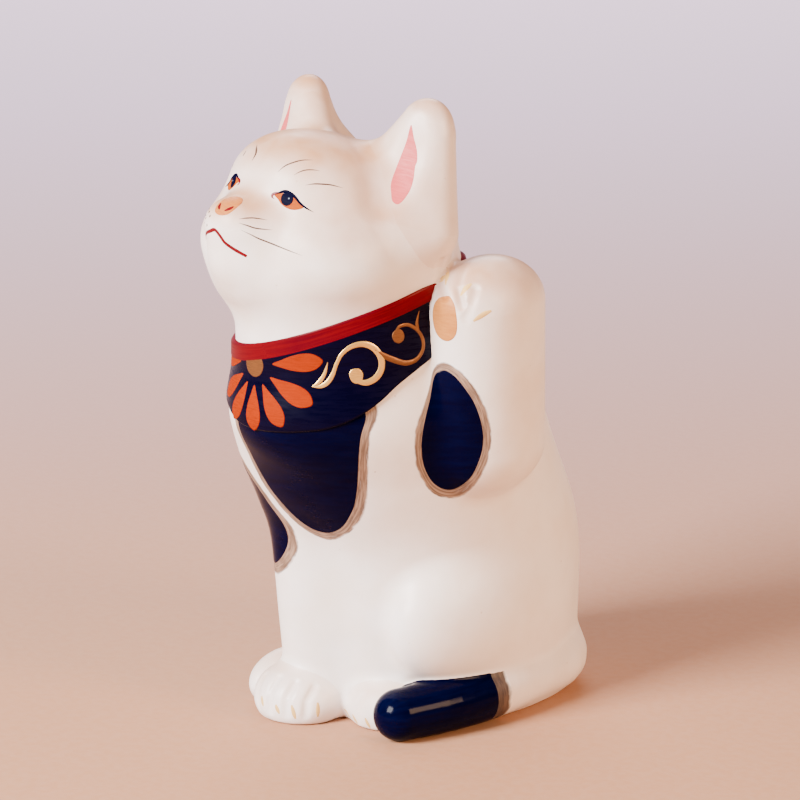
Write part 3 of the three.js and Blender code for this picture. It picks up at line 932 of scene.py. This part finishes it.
class CatSizes(PropertyGroup):
    """Sizes of the modelled layers."""
    paint: FloatProperty(name="Paint", description="Thickness of a painted area, mm", default=0.12, min=0.05,
                         max=0.4, unit="NONE")
    bib_thick: FloatProperty(name="Bib", description="Thickness of the bib's clay, mm", default=1.2, min=0.5,
                             max=2)
    ribbon_tall: FloatProperty(name="Ribbon height", description="Height of the neck ribbon, mm", default=5.6,
                               min=3, max=8)
    ribbon_thick: FloatProperty(name="Ribbon", description="Thickness of the neck ribbon, mm", default=1.5,
                                min=0.5, max=2)
    whisker: FloatProperty(name="Whisker", description="Widest part of a whisker stroke, mm", default=0.58,
                           min=0.2, max=1)
    floor_size: FloatProperty(name="Floor", description="Half width of the studio floor", default=4.0, min=1,
                              max=10, subtype="DISTANCE", unit="LENGTH")


def colour(label, text, value):
    """A colour property, linear."""
    return FloatVectorProperty(name=label, description=text, default=value, min=0, max=1, size=3,
                               subtype="COLOR")


class CatColours(PropertyGroup):
    """Colours of the clay and paints."""
    white: colour("White", "Whiting over the clay", srgb(247, 241, 238))
    white_cloud: colour("White cloud", "Its cloudy second tone", srgb(241, 230, 222))
    # a cream wash, and painted warm top light where the clay faces up
    cream: colour("Cream", "Cream wash on the crown, ears and paws", srgb(192, 138, 96))
    # grey of the painted shade in the folds; it also colours the pinholes
    fold: colour("Folds", "Grey that gathers in the folds", srgb(176, 146, 128))
    bare: colour("Bare clay", "Unglazed underside", srgb(198, 162, 132))
    bib_navy: colour("Bib navy", "Ground of the bib", srgb(1, 0, 20))
    patch_navy: colour("Patch navy", "Patches, tail tip and pupils", srgb(0, 0, 24))
    red: colour("Red", "Neck ribbon", srgb(100, 0, 12))
    orange: colour("Orange", "Petals", srgb(140, 42, 0))
    gold: colour("Gold", "Scroll on the bib", srgb(244, 200, 112))
    bronze: colour("Bronze", "Middle of the flower", srgb(124, 78, 42))
    wash: colour("Wash", "Grey-brown edging of the patches", srgb(158, 130, 110))
    pink: colour("Pink", "Inside of the ears", srgb(206, 92, 92))
    tan: colour("Tan", "Nose", srgb(190, 116, 54))
    line_red: colour("Dark red", "Mouth, nostrils and eye corners", srgb(112, 0, 16))
    iris: colour("Iris", "Eyes", srgb(160, 76, 0))
    hair: colour("Hair brown", "Brows and whiskers", srgb(58, 36, 26))
    claw: colour("Claw", "Claw strokes", srgb(226, 190, 120))


# ---------------------------------------------------------------- pieces

class CAT_OT_clay_body(Operator):
    """Hollow clay body with its thighs and standing foreleg, and the head"""
    bl_idname = "beckoning_cat.clay_body"
    bl_label = "Clay body and head"

    def execute(self, context):
        clay_piece("torso_clay", "torso", ("torso_front_shell", "torso_back_shell"),
                   [(0, 4, 16), (0, -3, 45), (0, -16, 85), (0, -29, 126)], 330, 270, (0, -1, 0), 0.17, 0.4,
                   (0.0, 0.12))
        clay_piece("head_clay", "head", ("face_shell", "head_back_shell"),
                   [from_head((0, 10, -3)), from_head((0, -21, -6))], 300, 290, (0, 0, 1), 0.4,
                   tint=(0.08, 1.0))
        return {"FINISHED"}


class CAT_OT_ears(Operator):
    """Both ears, hollowed in front, each with a pink leaf painted inside"""
    bl_idname = "beckoning_cat.ears"
    bl_label = "Ears"

    def execute(self, context):
        leaf = [(29.7, 36.5), (31.4, 32.5), (33, 29.3), (34, 26), (33.9, 24), (34.7, 20), (34.9, 15.8),
                (34.1, 11.3), (32.3, 11.4), (30.8, 13.5), (29.1, 17), (28.5, 21.5), (28.6, 26), (29.2, 31.5)]
        for name, part, side in (("left_ear", "ear_l", 1), ("right_ear", "ear_r", -1)):
            spine = [from_head((side * 29, 1, 6)), from_head((side * 29.5, -2, EAR_TIP - 5))]
            clay_piece(name + "_clay", part, (name,), spine, 170, 170, (side, -1, 0), 0.3, tint=(0.3, 0.7))
            paint(name + "_leaf", dab(ear_front(side), leaf, 0.1, rings=12), "ear_pink")
        return {"FINISHED"}


class CAT_OT_raised_arm(Operator):
    """Raised foreleg with its paw"""
    bl_idname = "beckoning_cat.raised_arm"
    bl_label = "Raised foreleg"

    def execute(self, context):
        clay_piece("raised_arm_clay", "arm", ("raised_arm",), [(39, -12, 96), (42, -15, 144)], 220, 230,
                   (1, -1, 0), 0.28, tint=(0.08, 0.9))
        return {"FINISHED"}


class CAT_OT_paws(Operator):
    """Forepaw and both hind paws"""
    bl_idname = "beckoning_cat.paws"
    bl_label = "Paws"

    def execute(self, context):
        for name, part, (c, _) in (("right_forepaw", "fore", FORE), ("left_hind_paw", "hind", HIND),
                                   ("right_hind_paw", "far", FAR_HIND)):
            c = np.array(c)
            clay_piece(name + "_clay", part, (name,), [c + (0, -5, 0), c + (0, 1, 0)], 200, 160, (0, 0, 1),
                       0.42, tint=(0.05, 0.45))
        return {"FINISHED"}


TAIL_GLAZE = [(34, -11, 9.3), (33.6, -22, 9.1), (31.8, -34, 8.8), (28.7, -43, 8.5)]
TAIL_BAND = [(34, -4.8, 9.5), (34, -8.3, 9.4), (34, -11.8, 9.3)]
TAIL_TURN_STEP = 0.33  # mm round the tail between two turns of a coat's finest grid


def tail_coat(spine, along, thick, closed):
    """Paint round the tail: (run, turn) -> where a ray across the tail's line leaves it, lifted off.

    A closed coat is carried over the tip. An open one has its streaks round the tail.
    """
    shape = piece_shape("tail")
    around = detail(160)
    cap = 0.36 if closed else 1e-6
    o, r, size = rays_from(spine, around, along, (0, 0, 1), 0.0, cap)
    p = o + r * reach(o, r, shape)[:, None]
    n = slope_of(shape, p)
    rows = size[0]
    v = np.linspace(0, 1, rows)
    length = np.linalg.norm(np.diff(through(spine, 60), axis=0), axis=1).sum() / (1 - (cap if closed else 0))
    depth = v * length if closed else np.minimum(v, 1 - v) * length
    p = p + n * np.repeat(rounded(depth, 0.3, thick), around)[:, None]
    p[:, 2] = np.maximum(p[:, 2], 0.02)
    turns = np.tile(np.arange(around) * TAIL_TURN_STEP, rows)
    if not closed:
        return dict(points=p, normals=n, quads=sheet_faces(rows, around, True), triangles=NO_TRIANGLES,
                    run=turns, across=np.repeat(1 - v, around))
    last = (rows - 1) * around
    j = np.arange(around)
    fan = np.stack([np.full(around, last), last - around + j, last - around + (j + 1) % around], -1)
    return dict(points=p[:last + 1], normals=n[:last + 1], quads=sheet_faces(rows - 1, around, True),
                triangles=fan, run=np.repeat(v * length, around)[:last + 1], across=turns[:last + 1])


class CAT_OT_tail(Operator):
    """Tail curled round the left side, with its glazed tip and washed band"""
    bl_idname = "beckoning_cat.tail"
    bl_label = "Tail"

    def execute(self, context):
        clay_piece("tail_clay", "tail", ("tail",), TAIL_PATH[1:], 130, 330, (0, 0, 1), 0.1, tint=(0.03, 0.25))
        sizes = context.scene.cat_sizes
        paint("tail_tip_glaze", tail_coat(TAIL_GLAZE, detail(130), sizes.paint + 0.06, True), "patch_navy",
              "navy_clay")
        paint("tail_band_wash", tail_coat(TAIL_BAND, 24, 0.07, False), "tail_wash")
        return {"FINISHED"}


class CAT_OT_neck_ribbon(Operator):
    """Red clay ribbon round the neck"""
    bl_idname = "beckoning_cat.neck_ribbon"
    bl_label = "Neck ribbon"

    def execute(self, context):
        sizes = context.scene.cat_sizes
        around, rows = detail(420), 21
        t = np.linspace(0, 1, rows)
        turn = np.arange(around) / around * 2 * np.pi
        slant = NECK
        across = unit(np.cross(slant, [0, 1, 0]))
        forward = np.cross(slant, across)
        level = np.cos(turn)[:, None] * forward + np.sin(turn)[:, None] * across
        middle = np.array([0, -22, 0.0])
        middle[2] = NECK_POINT[2] - (slant[0] * middle[0] + slant[1] * middle[1]) / slant[2]
        offset = ((t - 0.5) * sizes.ribbon_tall)[:, None, None] * slant
        o = np.broadcast_to(middle + offset, (rows, around, 3)).reshape(-1, 3).astype(F)
        r = np.broadcast_to(level, (rows, around, 3)).reshape(-1, 3).astype(F)
        p = o + r * reach(o, r, bare)[:, None]
        n = unit(slope_of(bare, p) * 0.6 + r * 0.4)
        wave = 0.12 * np.sin(3 * turn + 0.6) + 0.08 * np.sin(7 * turn)
        edge = np.minimum(t, 1 - t) * sizes.ribbon_tall
        round_up = np.sqrt(1 - (1 - np.clip(edge / 0.9, 0, 1)) ** 2)
        lift = -0.5 + (sizes.ribbon_thick + 0.5 + wave[None, :] * 0.5) * round_up[:, None]
        tilt = np.repeat(np.sign(t - 0.5) * (1 - round_up), around)[:, None] * slant * 1.4
        piece = dict(points=p + n * lift.reshape(-1, 1), normals=unit(n + tilt),
                     quads=sheet_faces(rows, around, True), triangles=NO_TRIANGLES,
                     run=np.tile(turn * 38, rows), across=np.repeat(t * sizes.ribbon_tall, around))
        paint("neck_ribbon_clay", piece, "ribbon_red", "red_clay", ("neck_ribbon",))
        return {"FINISHED"}


# The bib's hem: mm round from the front, height.
HEM = [(-66, 131), (-52, 120), (-38, 114), (-26, 112), (-16.6, 110), (-8, 107.2), (0, 106.4), (8, 106.8),
       (16, 107.6), (24, 108.9), (32, 111.8), (40, 116.5), (47, 121.5), (56, 126), (66, 130), (74, 134)]


def on_bib(p):
    """The clay body thickened by the bib."""
    return bare(p) - bpy.context.scene.cat_sizes.bib_thick


class CAT_OT_bib(Operator):
    """Navy clay bib on the chest"""
    bl_idname = "beckoning_cat.bib"
    bl_label = "Bib"

    def execute(self, context):
        sizes = context.scene.cat_sizes
        cols, rows = detail(300), detail(110)
        u = np.linspace(HEM[0][0] + 2, HEM[-1][0] - 2, cols)
        line = through(HEM, 400)
        low = np.interp(u, line[:, 0], line[:, 1])
        top = np.full(cols, 135.0)
        for _ in range(6):
            p = land(BODY_CHART, np.stack([u, top], -1), bare)
            top -= above_neck(p) * 0.9
        t = np.sin(np.linspace(0, np.pi / 2, rows))
        v = top + (np.minimum(low, top - 1) - top) * t[:, None]
        uv = np.stack([np.broadcast_to(u, v.shape), v], -1).reshape(-1, 2)
        p = land(BODY_CHART, uv, bare)
        n = slope_of(bare, p)
        hem_depth = (v - v[-1]).ravel()
        side_depth = np.minimum(uv[:, 0] - u[0], u[-1] - uv[:, 0])
        depth = np.minimum(hem_depth, side_depth)
        lift = -0.3 + (sizes.bib_thick + 0.3) * np.sqrt(1 - (1 - np.clip(depth / 1.1, 0, 1)) ** 2)
        down = np.clip(1 - hem_depth / 1.1, 0, 1)[:, None] * np.array([0, 0, -1.3])
        piece = dict(points=p + n * lift[:, None], normals=unit(n + down), quads=sheet_faces(rows, cols),
                     triangles=NO_TRIANGLES, run=uv[:, 0], across=uv[:, 1])
        paint("bib_clay", piece, "bib_navy", "navy_clay", ("bib",))
        return {"FINISHED"}


def petal(angle, length, width, start=6.0, foot=(-1.6, 127.5)):
    """A teardrop petal's outline: out from the flower's middle at an angle, widest at two thirds."""
    t = np.array([0, 0.2, 0.42, 0.66, 0.86, 1.0, 0.86, 0.66, 0.42, 0.2])
    half = np.array([0, 0.42, 0.8, 1.0, 0.78, 0, -0.78, -1.0, -0.8, -0.42]) * width / 2
    c, s = math.cos(math.radians(angle)), math.sin(math.radians(angle))
    along = start + t * length
    return [(foot[0] + a * c - h * s, foot[1] + a * s + h * c) for a, h in zip(along, half)]


# Petals: degrees round from the right, length, width, start, in mm out from the flower's middle.
PETALS = [(8, 16.5, 6.0, 7.5), (-27, 16.2, 6.2, 7.5), (-56, 15.0, 5.6, 7.2), (-84, 14.5, 5.8, 6.8),
          (-113, 14.6, 5.6, 6.8), (-142, 15.0, 5.8, 7.2), (-174, 15.5, 6.0, 7.5)]
FLOWER_MIDDLE = [(-1.7, 131.9), (1.0, 130.6), (2.4, 127.4), (1.3, 124.4), (-1.3, 123.2), (-4.4, 124.4),
                 (-5.6, 127.2), (-4.6, 130.5)]
# Scroll: path and widths of each stroke, outline of each ball.
# Leaf and vine are gold, branch and horn are bronze.
LEAF = ([(19.0, 122.5), (20.9, 123.9), (22.6, 126.6), (23.6, 130.4)], [0.1, 1.5, 1.3, 0.9, 0.1])
VINE = ([(19.0, 122.4), (21.5, 122.6), (23.6, 123.9), (25.2, 126.6), (26.2, 129.6), (28.0, 133.1),
         (31.0, 135.4), (34.8, 136.0), (38.4, 134.4), (40.7, 131.2), (40.9, 127.6), (39.0, 124.8),
         (35.8, 123.5), (33.2, 124.0)],
        [0.15, 1.7, 1.7, 1.3, 1.2, 1.5, 1.9, 2.1, 2.3, 2.3, 2.4, 2.4, 2.2, 1.6])
BRANCH = ([(38.6, 134.0), (41.5, 131.9), (45.6, 130.0), (50.2, 128.6), (54.7, 129.2), (57.7, 131.8),
           (58.0, 135.0), (55.8, 138.2), (51.6, 140.6), (47.8, 140.6), (46.2, 139.0)],
          [1.2, 2.0, 2.1, 1.9, 1.7, 1.5, 1.4, 1.3, 1.3, 1.2, 1.0])
HORN = ([(56.0, 137.6), (55.2, 140.4), (55.6, 142.4), (56.4, 144.6)], [0.9, 1.5, 0.9, 0.1])
VINE_BALL = [(30.2, 126.6), (31.2, 128.0), (33.2, 128.1), (34.6, 126.6), (34.4, 124.4), (32.8, 123.3),
             (31.0, 124.2)]
BRANCH_BALL = [(44.8, 138.0), (46.0, 139.6), (48.2, 139.6), (49.6, 137.8), (49.2, 136.0), (47.4, 135.2),
               (45.6, 136.0)]


class CAT_OT_bib_painting(Operator):
    """Orange flower and gold scroll on the bib"""
    bl_idname = "beckoning_cat.bib_painting"
    bl_label = "Flower and scroll"

    def execute(self, context):
        petals = [dab(BODY_CHART, petal(*shape), 0.13, on_bib, around=64, rings=6) for shape in PETALS]
        paint("flower_petals", petals, "petal_orange")
        paint("flower_middle", dab(BODY_CHART, FLOWER_MIDDLE, 0.16, on_bib, around=64), "bronze_paint")
        for metal, lines, ball_line in (("gold", (LEAF, VINE), VINE_BALL),
                                        ("bronze", (BRANCH, HORN), BRANCH_BALL)):
            sheets = [stroke(BODY_CHART, *line, thick=0.16, shape=on_bib) for line in lines]
            sheets.append(dab(BODY_CHART, ball_line, 0.17, on_bib, around=48, rings=6))
            paint(metal + "_scroll", sheets, metal + "_paint")
        return {"FINISHED"}


# Patches and the outer edges of their washes, point for point.
CHEST_PATCH = [(-9, 112), (-9.5, 101), (-11, 91), (-9.5, 83), (-5.5, 75), (-0.5, 70), (5.5, 68), (12.3, 68.4),
               (20.3, 71.7), (26.9, 78.3), (30.3, 85.7), (32.5, 95.7), (34.1, 105.8), (35.5, 114), (28, 120),
               (10, 118), (-4, 118)]
CHEST_EDGE = [(-12, 112), (-12.6, 100), (-14.2, 89.5), (-12.2, 80.5), (-7.5, 72.4), (-1.4, 67.1), (6, 64.9),
              (13.2, 65.4), (22.8, 69.1), (30.4, 75.1), (34.2, 82.1), (35.9, 92.9), (37.6, 105.6),
              (40.3, 115.4), (31, 122), (10, 120), (-7, 119.5)]
FLANK_PATCH = [(-16.8, 75), (-14, 71), (-13, 67), (-14, 62.5), (-17, 58.5), (-22, 54.5), (-29, 52), (-38, 54),
               (-44, 62), (-45, 73), (-40, 83), (-31, 87), (-22, 82)]
FLANK_EDGE = [(-13.2, 76.5), (-10, 72), (-8, 66.4), (-9, 61), (-12.4, 56), (-18, 51.6), (-28, 47.8),
              (-39.5, 50), (-48, 60), (-49, 74), (-43, 87), (-31, 91.5), (-19.5, 86)]
ARM_PATCH = [(11.6, 115), (12, 122.5), (13.7, 124.7), (16.8, 125.1), (20.4, 122.5), (24.8, 115.9),
             (27.2, 108.7), (27.8, 102.3), (26.6, 96), (23, 89.3), (16.8, 84.8), (13.4, 84.6), (11.2, 87.5),
             (10.4, 92.9),
             (10.7, 99.8), (11.2, 106.8)]
ARM_EDGE = [(10.9, 117), (11.6, 125), (13.7, 127.8), (18.1, 127.8), (22.7, 124.6), (27.7, 116.6),
            (30.2, 108.5), (30.6, 101.2), (28.8, 93.4), (24.3, 86.4), (17.2, 80.9), (12.7, 81.1), (10, 84.6),
            (9.0, 91.4),
            (9.4, 99.3), (10.1, 108.6)]


class CAT_OT_patches(Operator):
    """Navy patches on the chest, right flank and raised foreleg, each edged with a grey-brown wash"""
    bl_idname = "beckoning_cat.patches"
    bl_label = "Coat patches"

    def execute(self, context):
        thick = context.scene.cat_sizes.paint
        for name, chart, inner, outer, rings, around in (
                ("chest_patch", BODY_CHART, CHEST_PATCH, CHEST_EDGE, 46, 320),
                ("flank_patch", BODY_CHART, FLANK_PATCH, FLANK_EDGE, 26, 220),
                ("arm_patch", FLANK_OF_ARM, ARM_PATCH, ARM_EDGE, 26, 240)):
            paint(name, dab(chart, inner, thick, around=detail(around), rings=detail(rings)), "patch_navy",
                  "navy_clay")
            paint(name + "_wash", border(chart, inner, outer, around=detail(around)), "patch_wash")
        return {"FINISHED"}


# The left half of the face, in mm on the face chart; the right half mirrors it.
IRIS = [(13.2, 10.4), (15.2, 11.6), (18.5, 12.4), (21.6, 11.8), (24.6, 10.2), (27.6, 8.6), (26.2, 7.3),
        (23.6, 6.4), (20.4, 6.5), (17.4, 7.6), (15.2, 9.2)]
PUPIL = [(16.9, 12.0), (19.2, 12.7), (21.7, 11.9), (22.4, 9.9), (21.4, 8.0), (19.6, 7.3), (17.6, 8.0),
         (16.5, 9.9)]
LID = [(13.4, 10.8), (15.0, 11.9), (17.4, 12.9), (20.2, 12.7), (23.0, 11.6), (25.6, 9.9), (28.6, 8.6),
       (32.2, 7.6)]
LID_WIDTHS = [0.3, 0.9, 1.3, 1.2, 1.0, 0.9, 0.6, 0.1]
# a painted highlight on the pupil
EYE_LIGHT = [(20.2, 11.0), (20.6, 10.7), (20.3, 10.3), (19.9, 10.6)]
RIGHT_EYE_SHIFT = (-3.2, 1.6)  # the right eye is painted nearer the nose and higher
# Hairs: path, and width as a share of the whisker size.
BROWS = [([(11.6, 19.2), (13.7, 22.1), (16.7, 24.3), (20.4, 26.4), (25.0, 27.8)], 1.0),
         ([(19.3, 19.6), (21.0, 21.2), (23.4, 22.7), (26.7, 23.7), (29.9, 24.1)], 0.8),
         ([(25.6, 17.2), (28.6, 18.4), (31.8, 19.2), (36.3, 20.0), (41.8, 20.2)], 0.95)]
RIGHT_BROWS = [([(5.4, 20.8), (6.2, 24.3), (11.3, 28)], 1.5), ([(16.1, 22), (16.4, 23), (17, 24.6)], 1.2),
               BROWS[2]]
WHISKERS = [([(6.7, -3.1), (8.7, -2.1), (10.9, -1.3), (14.8, -0.7)], 0.9),
            ([(7.2, -4.4), (9.6, -4.6), (12.1, -4.9), (14.8, -4.6), (17.9, -4.0)], 0.9),
            ([(8.3, -6.6), (11.1, -7.5), (15.3, -8.8), (23.0, -9.8), (33.1, -9.9)], 1.0)]
NOSTRIL = [(0.8, -1.8), (1.5, -1.3), (2.4, -0.4), (3.0, 0.8)]
NOSE = [(0, 5.0), (2.3, 4.5), (3.8, 2.8), (4.0, 0.3), (3.1, -2.2), (1.5, -3.2), (0, -3.4)]
MOUTH = [(-13.5, -13.2), (-8.6, -10.8), (-3.7, -9.2), (-0.9, -8.4), (1.1, -10.0), (2.9, -12.1), (6.5, -14.1),
         (10.8, -15.9)]
MOUTH_WIDTHS = [0.5, 1.1, 1.2, 1.4, 1.3, 1.3, 1.3, 1.1]
MUZZLE_DOTS = [(4.4, -4.4), (5.7, -7.5), (7.6, -5.4), (6.2, -3.2)]  # on the right half


def eye(name, on, shift):
    """One eye: each outline moved by the shift, laid as iris, pupil, lid line, red corner and a painted
    highlight.
    """
    iris, pupil, lid, light = ([(u + shift[0], v + shift[1]) for u, v in line]
                               for line in (IRIS, PUPIL, LID, EYE_LIGHT))
    paint(name + "_iris", dab(on, iris, 0.08, rings=8), "iris_orange")
    paint(name + "_pupil", dab(on, pupil, 0.15, rings=6, around=64), "eye_navy")
    paint(name + "_lid_line", stroke(on, lid, LID_WIDTHS, 0.17), "eye_navy")
    u, v = iris[0]
    corner = [(u + 0.4, v - 1.5), (u - 0.8, v - 1), (u - 1, v), (u + 0.2, v + 0.9), (u + 2, v + 1.8)]
    paint(name + "_eye_corner", stroke(on, corner, [0.1, 0.8, 1.1, 0.8, 0.1], 0.19), "line_red")
    # painted highlight
    paint(name + "_eye_light", dab(on, light, 0.2, rings=3, around=20, rim=0.1), "eye_light")


def hairs(on, lines, middle, later):
    """Fine strokes: the whisker size times each one's share, with its middle and later width as told."""
    thin = bpy.context.scene.cat_sizes.whisker
    return [stroke(on, path, [0.05, thin * w, thin * w * middle, thin * w * later, 0.04], 0.06)
            for path, w in lines]


class CAT_OT_face_painting(Operator):
    """Eyes, brows, nose, mouth, whiskers and muzzle dots"""
    bl_idname = "beckoning_cat.face_painting"
    bl_label = "Face painting"

    def execute(self, context):
        for name, side, shift, brows in (("left", 1, (0, 0), BROWS),
                                         ("right", -1, RIGHT_EYE_SHIFT, RIGHT_BROWS)):
            on = face_chart(side)
            eye(name, on, shift)
            paint(name + "_brow_hairs", hairs(on, brows, 1.1, 0.8), "hair_brown")
            paint(name + "_whiskers", hairs(on, WHISKERS, 1.0, 0.7), "hair_brown")
            paint(name + "_nostril", stroke(on, NOSTRIL, [0.3, 1.5, 1.6, 0.3], 0.18), "line_red")
        paint("mouth_line", stroke(face_chart(), MOUTH, MOUTH_WIDTHS, 0.12), "line_red")
        dots = [[(u - 0.4, v), (u, v + 0.5), (u + 0.4, v), (u, v - 0.5)] for u, v in MUZZLE_DOTS]
        paint("muzzle_dots", [dab(face_chart(-1), dot, 0.06, rings=3, around=16, rim=0.1) for dot in dots],
              "hair_brown")
        mirror = [(-u, v) for u, v in NOSE[5:0:-1]]
        paint("nose_patch", dab(face_chart(), NOSE + mirror, 0.12, rings=8), "nose_tan")
        return {"FINISHED"}


class CAT_OT_paw_painting(Operator):
    """Pad on the raised paw and claw strokes on the paws"""
    bl_idname = "beckoning_cat.paw_painting"
    bl_label = "Pad and claws"

    def execute(self, context):
        pad = [(1.6, 12.0), (4.6, 11.8), (6.8, 9.4), (7.6, 5.4), (7.1, 1.4), (4.8, -0.8), (1.8, -0.6),
               (-0.2, 1.2), (-1.4, 5.2), (-1.2, 9.6)]
        paint("raised_paw_pad", dab(PAW_CHART, pad, 0.12), "pad_tan")
        raised = [[(-2.9, 19.8), (-0.9, 17.6), (0.3, 15.2)], [(10.6, 16.5), (9.0, 14.8), (7.3, 12.8)],
                  [(17.9, 9.3), (15.3, 8.0), (12.4, 5.9)], [(-2.0, 17.8), (-2.6, 16.6), (-3.0, 15.4)]]
        fore = [[(-3.6, 2.3), (-3.0, 0.8), (-2.4, -0.9)], [(3.5, 1.0), (4.1, -0.5), (4.7, -2.0)],
                [(9.2, 1.5), (9.8, -0.8), (10.4, -3.2)], [(17.7, 2.2), (17.7, -0.2), (17.7, -2.6)]]
        hind = [[(-10.9, -1.8), (-10.3, -3.6), (-9.7, -5.2)], [(-4.2, -1.6), (-3.4, -3.4), (-2.8, -5.0)],
                [(2.4, -1.2), (3.0, -3.2), (3.5, -5.2)]]
        for name, chart, lines, width in (("raised_paw_claws", PAW_CHART, raised, 2.0),
                                          ("forepaw_claws", FORE_CHART, fore, 1.7),
                                          ("hind_paw_claws", HIND_CHART, hind, 1.5)):
            widths = [width * 0.4, width, width, width * 0.35]
            paint(name, [stroke(chart, line, widths, 0.07) for line in lines], "claw_cream")
        return {"FINISHED"}


class CAT_OT_foot_slab(Operator):
    """Bare clay finish on the slab that closes the foot"""
    bl_idname = "beckoning_cat.foot_slab"
    bl_label = "Foot slab"

    def execute(self, context):
        slab = bpy.data.objects["foot_slab"]
        slab.data.materials.clear()
        slab.data.materials.append(finish("unglazed_clay"))
        return {"FINISHED"}


# ---------------------------------------------------------------- studio

CAMERA_TURN, CAMERA_RISE = 45.0, 14.5  # degrees round to the cat's left, and above level
CAMERA_AIM, CAMERA_FAR, CAMERA_LENS = (-8.2, -5.95, 101.1), 1333.0, 180.0
LIGHTS = [  # name, place and aim in metres, size, watts, colour
    ("key", (-0.15, -1.30, 0.85), (0, 0, 0.10), 0.6, 102.0, (1.0, 0.96, 0.95)),
    ("warm_side", (1.30, 0.30, 0.60), (0, 0, 0.10), 0.45, 25.0, (1.0, 0.62, 0.34)),
    ("top", (0.1, 0.2, 1.5), (0, 0, 0.12), 0.8, 3.0, (1.0, 0.80, 0.62)),
    ("far_floor", (-1.5, 1.5, 1.4), (-1.6, 1.65, 0.0), 1.3, 84.0, (1.0, 0.94, 1.0)),
]


def studio_floor():
    """Paper sweep: warm near the camera, cooling to lilac far behind, with a faint fibre."""
    material, tree, shader, where = blank("studio_floor")
    split = add(tree, "ShaderNodeSeparateXYZ", Vector=where)
    away = sums(tree, "SUBTRACT", split.outputs["Y"], split.outputs["X"])
    far = ramp(tree, away, -0.1, 1.7)
    fibre = noise(tree, where, 300.0)
    paper = mixed(tree, far, srgb(174, 126, 94), srgb(200, 180, 198))
    shade = mixed(tree, sums(tree, "MULTIPLY", ramp(tree, fibre, 0.3, 0.7), 0.08), paper, srgb(190, 170, 160))
    tree.links.new(shade, shader.inputs["Base Color"])
    shader.inputs["Roughness"].default_value = 0.85
    shader.inputs["Specular IOR Level"].default_value = 0.2
    bump(tree, shader, fibre, 0.0001)
    return material


class CAT_OT_stage(Operator):
    """Pale floor, soft studio lights and the camera"""
    bl_idname = "beckoning_cat.stage"
    bl_label = "Studio"

    def execute(self, context):
        scene = context.scene
        half = scene.cat_sizes.floor_size
        mesh = bpy.data.meshes.new("studio_floor")
        corners = [(-half, -half, 0), (half, -half, 0), (half, half, 0), (-half, half, 0)]
        mesh.from_pydata(corners, [], [(0, 1, 2, 3)])
        mesh.materials.append(studio_floor())
        floor = bpy.data.objects.new("studio_floor", mesh)
        scene.collection.objects.link(floor)
        a, e = math.radians(CAMERA_TURN), math.radians(CAMERA_RISE)
        back = np.array([math.sin(a) * math.cos(e), -math.cos(a) * math.cos(e), math.sin(e)])
        data = bpy.data.cameras.new("camera")
        data.lens, data.sensor_width, data.clip_end = CAMERA_LENS, 36, 20
        camera = bpy.data.objects.new("camera", data)
        camera.location = put(np.array(CAMERA_AIM) + back * CAMERA_FAR)
        camera.rotation_euler = Vector(-back).to_track_quat("-Z", "Y").to_euler()
        scene.collection.objects.link(camera)
        scene.camera = camera
        world = bpy.data.worlds.new("studio")
        world.use_nodes = True
        backdrop = world.node_tree.nodes["Background"]
        backdrop.inputs["Color"].default_value = (0.86, 0.80, 0.90, 1)
        backdrop.inputs["Strength"].default_value = 0.3
        scene.world = world
        for name, place, aim, size, watts, tone in LIGHTS:
            lamp = bpy.data.lights.new(name, "AREA")
            lamp.size, lamp.energy, lamp.color = size, watts, tone
            lit = bpy.data.objects.new(name, lamp)
            lit.location = place
            lit.rotation_euler = (Vector(aim) - Vector(place)).to_track_quat("-Z", "Y").to_euler()
            scene.collection.objects.link(lit)
        return {"FINISHED"}


# ---------------------------------------------------------------- panel and run

STEPS = (CAT_OT_clay_body, CAT_OT_ears, CAT_OT_raised_arm, CAT_OT_paws, CAT_OT_tail, CAT_OT_neck_ribbon,
         CAT_OT_bib, CAT_OT_bib_painting, CAT_OT_patches, CAT_OT_face_painting, CAT_OT_paw_painting,
         CAT_OT_foot_slab, CAT_OT_stage)


class CAT_PT_pieces(Panel):
    """Lists the figurine's pieces, sizes and colours"""
    bl_idname = "CAT_PT_pieces"
    bl_label = "Beckoning Cat"
    bl_space_type = "VIEW_3D"
    bl_region_type = "UI"
    bl_category = "Beckoning Cat"

    def draw(self, context):
        for step in STEPS:
            self.layout.operator(step.bl_idname)
        for values in (context.scene.cat_sizes, context.scene.cat_colours):
            for key in values.bl_rna.properties.keys():
                if key not in ("rna_type", "name"):
                    self.layout.prop(values, key)


CLASSES = (CatSizes, CatColours) + STEPS + (CAT_PT_pieces,)


def register():
    """Registers the classes and hangs the sizes and colours on the scene."""
    for item in CLASSES:
        bpy.utils.register_class(item)
    bpy.types.Scene.cat_sizes = PointerProperty(type=CatSizes)
    bpy.types.Scene.cat_colours = PointerProperty(type=CatColours)


def unregister():
    """Takes them off again."""
    del bpy.types.Scene.cat_colours
    del bpy.types.Scene.cat_sizes
    for item in reversed(CLASSES):
        bpy.utils.unregister_class(item)


def main():
    """Builds every piece in order."""
    register()
    for step in STEPS:
        area, call = step.bl_idname.split(".")
        result = getattr(getattr(bpy.ops, area), call)()
        if "FINISHED" not in result:
            raise RuntimeError(step.bl_label + " did not finish")


if __name__ == "__main__":
    main()
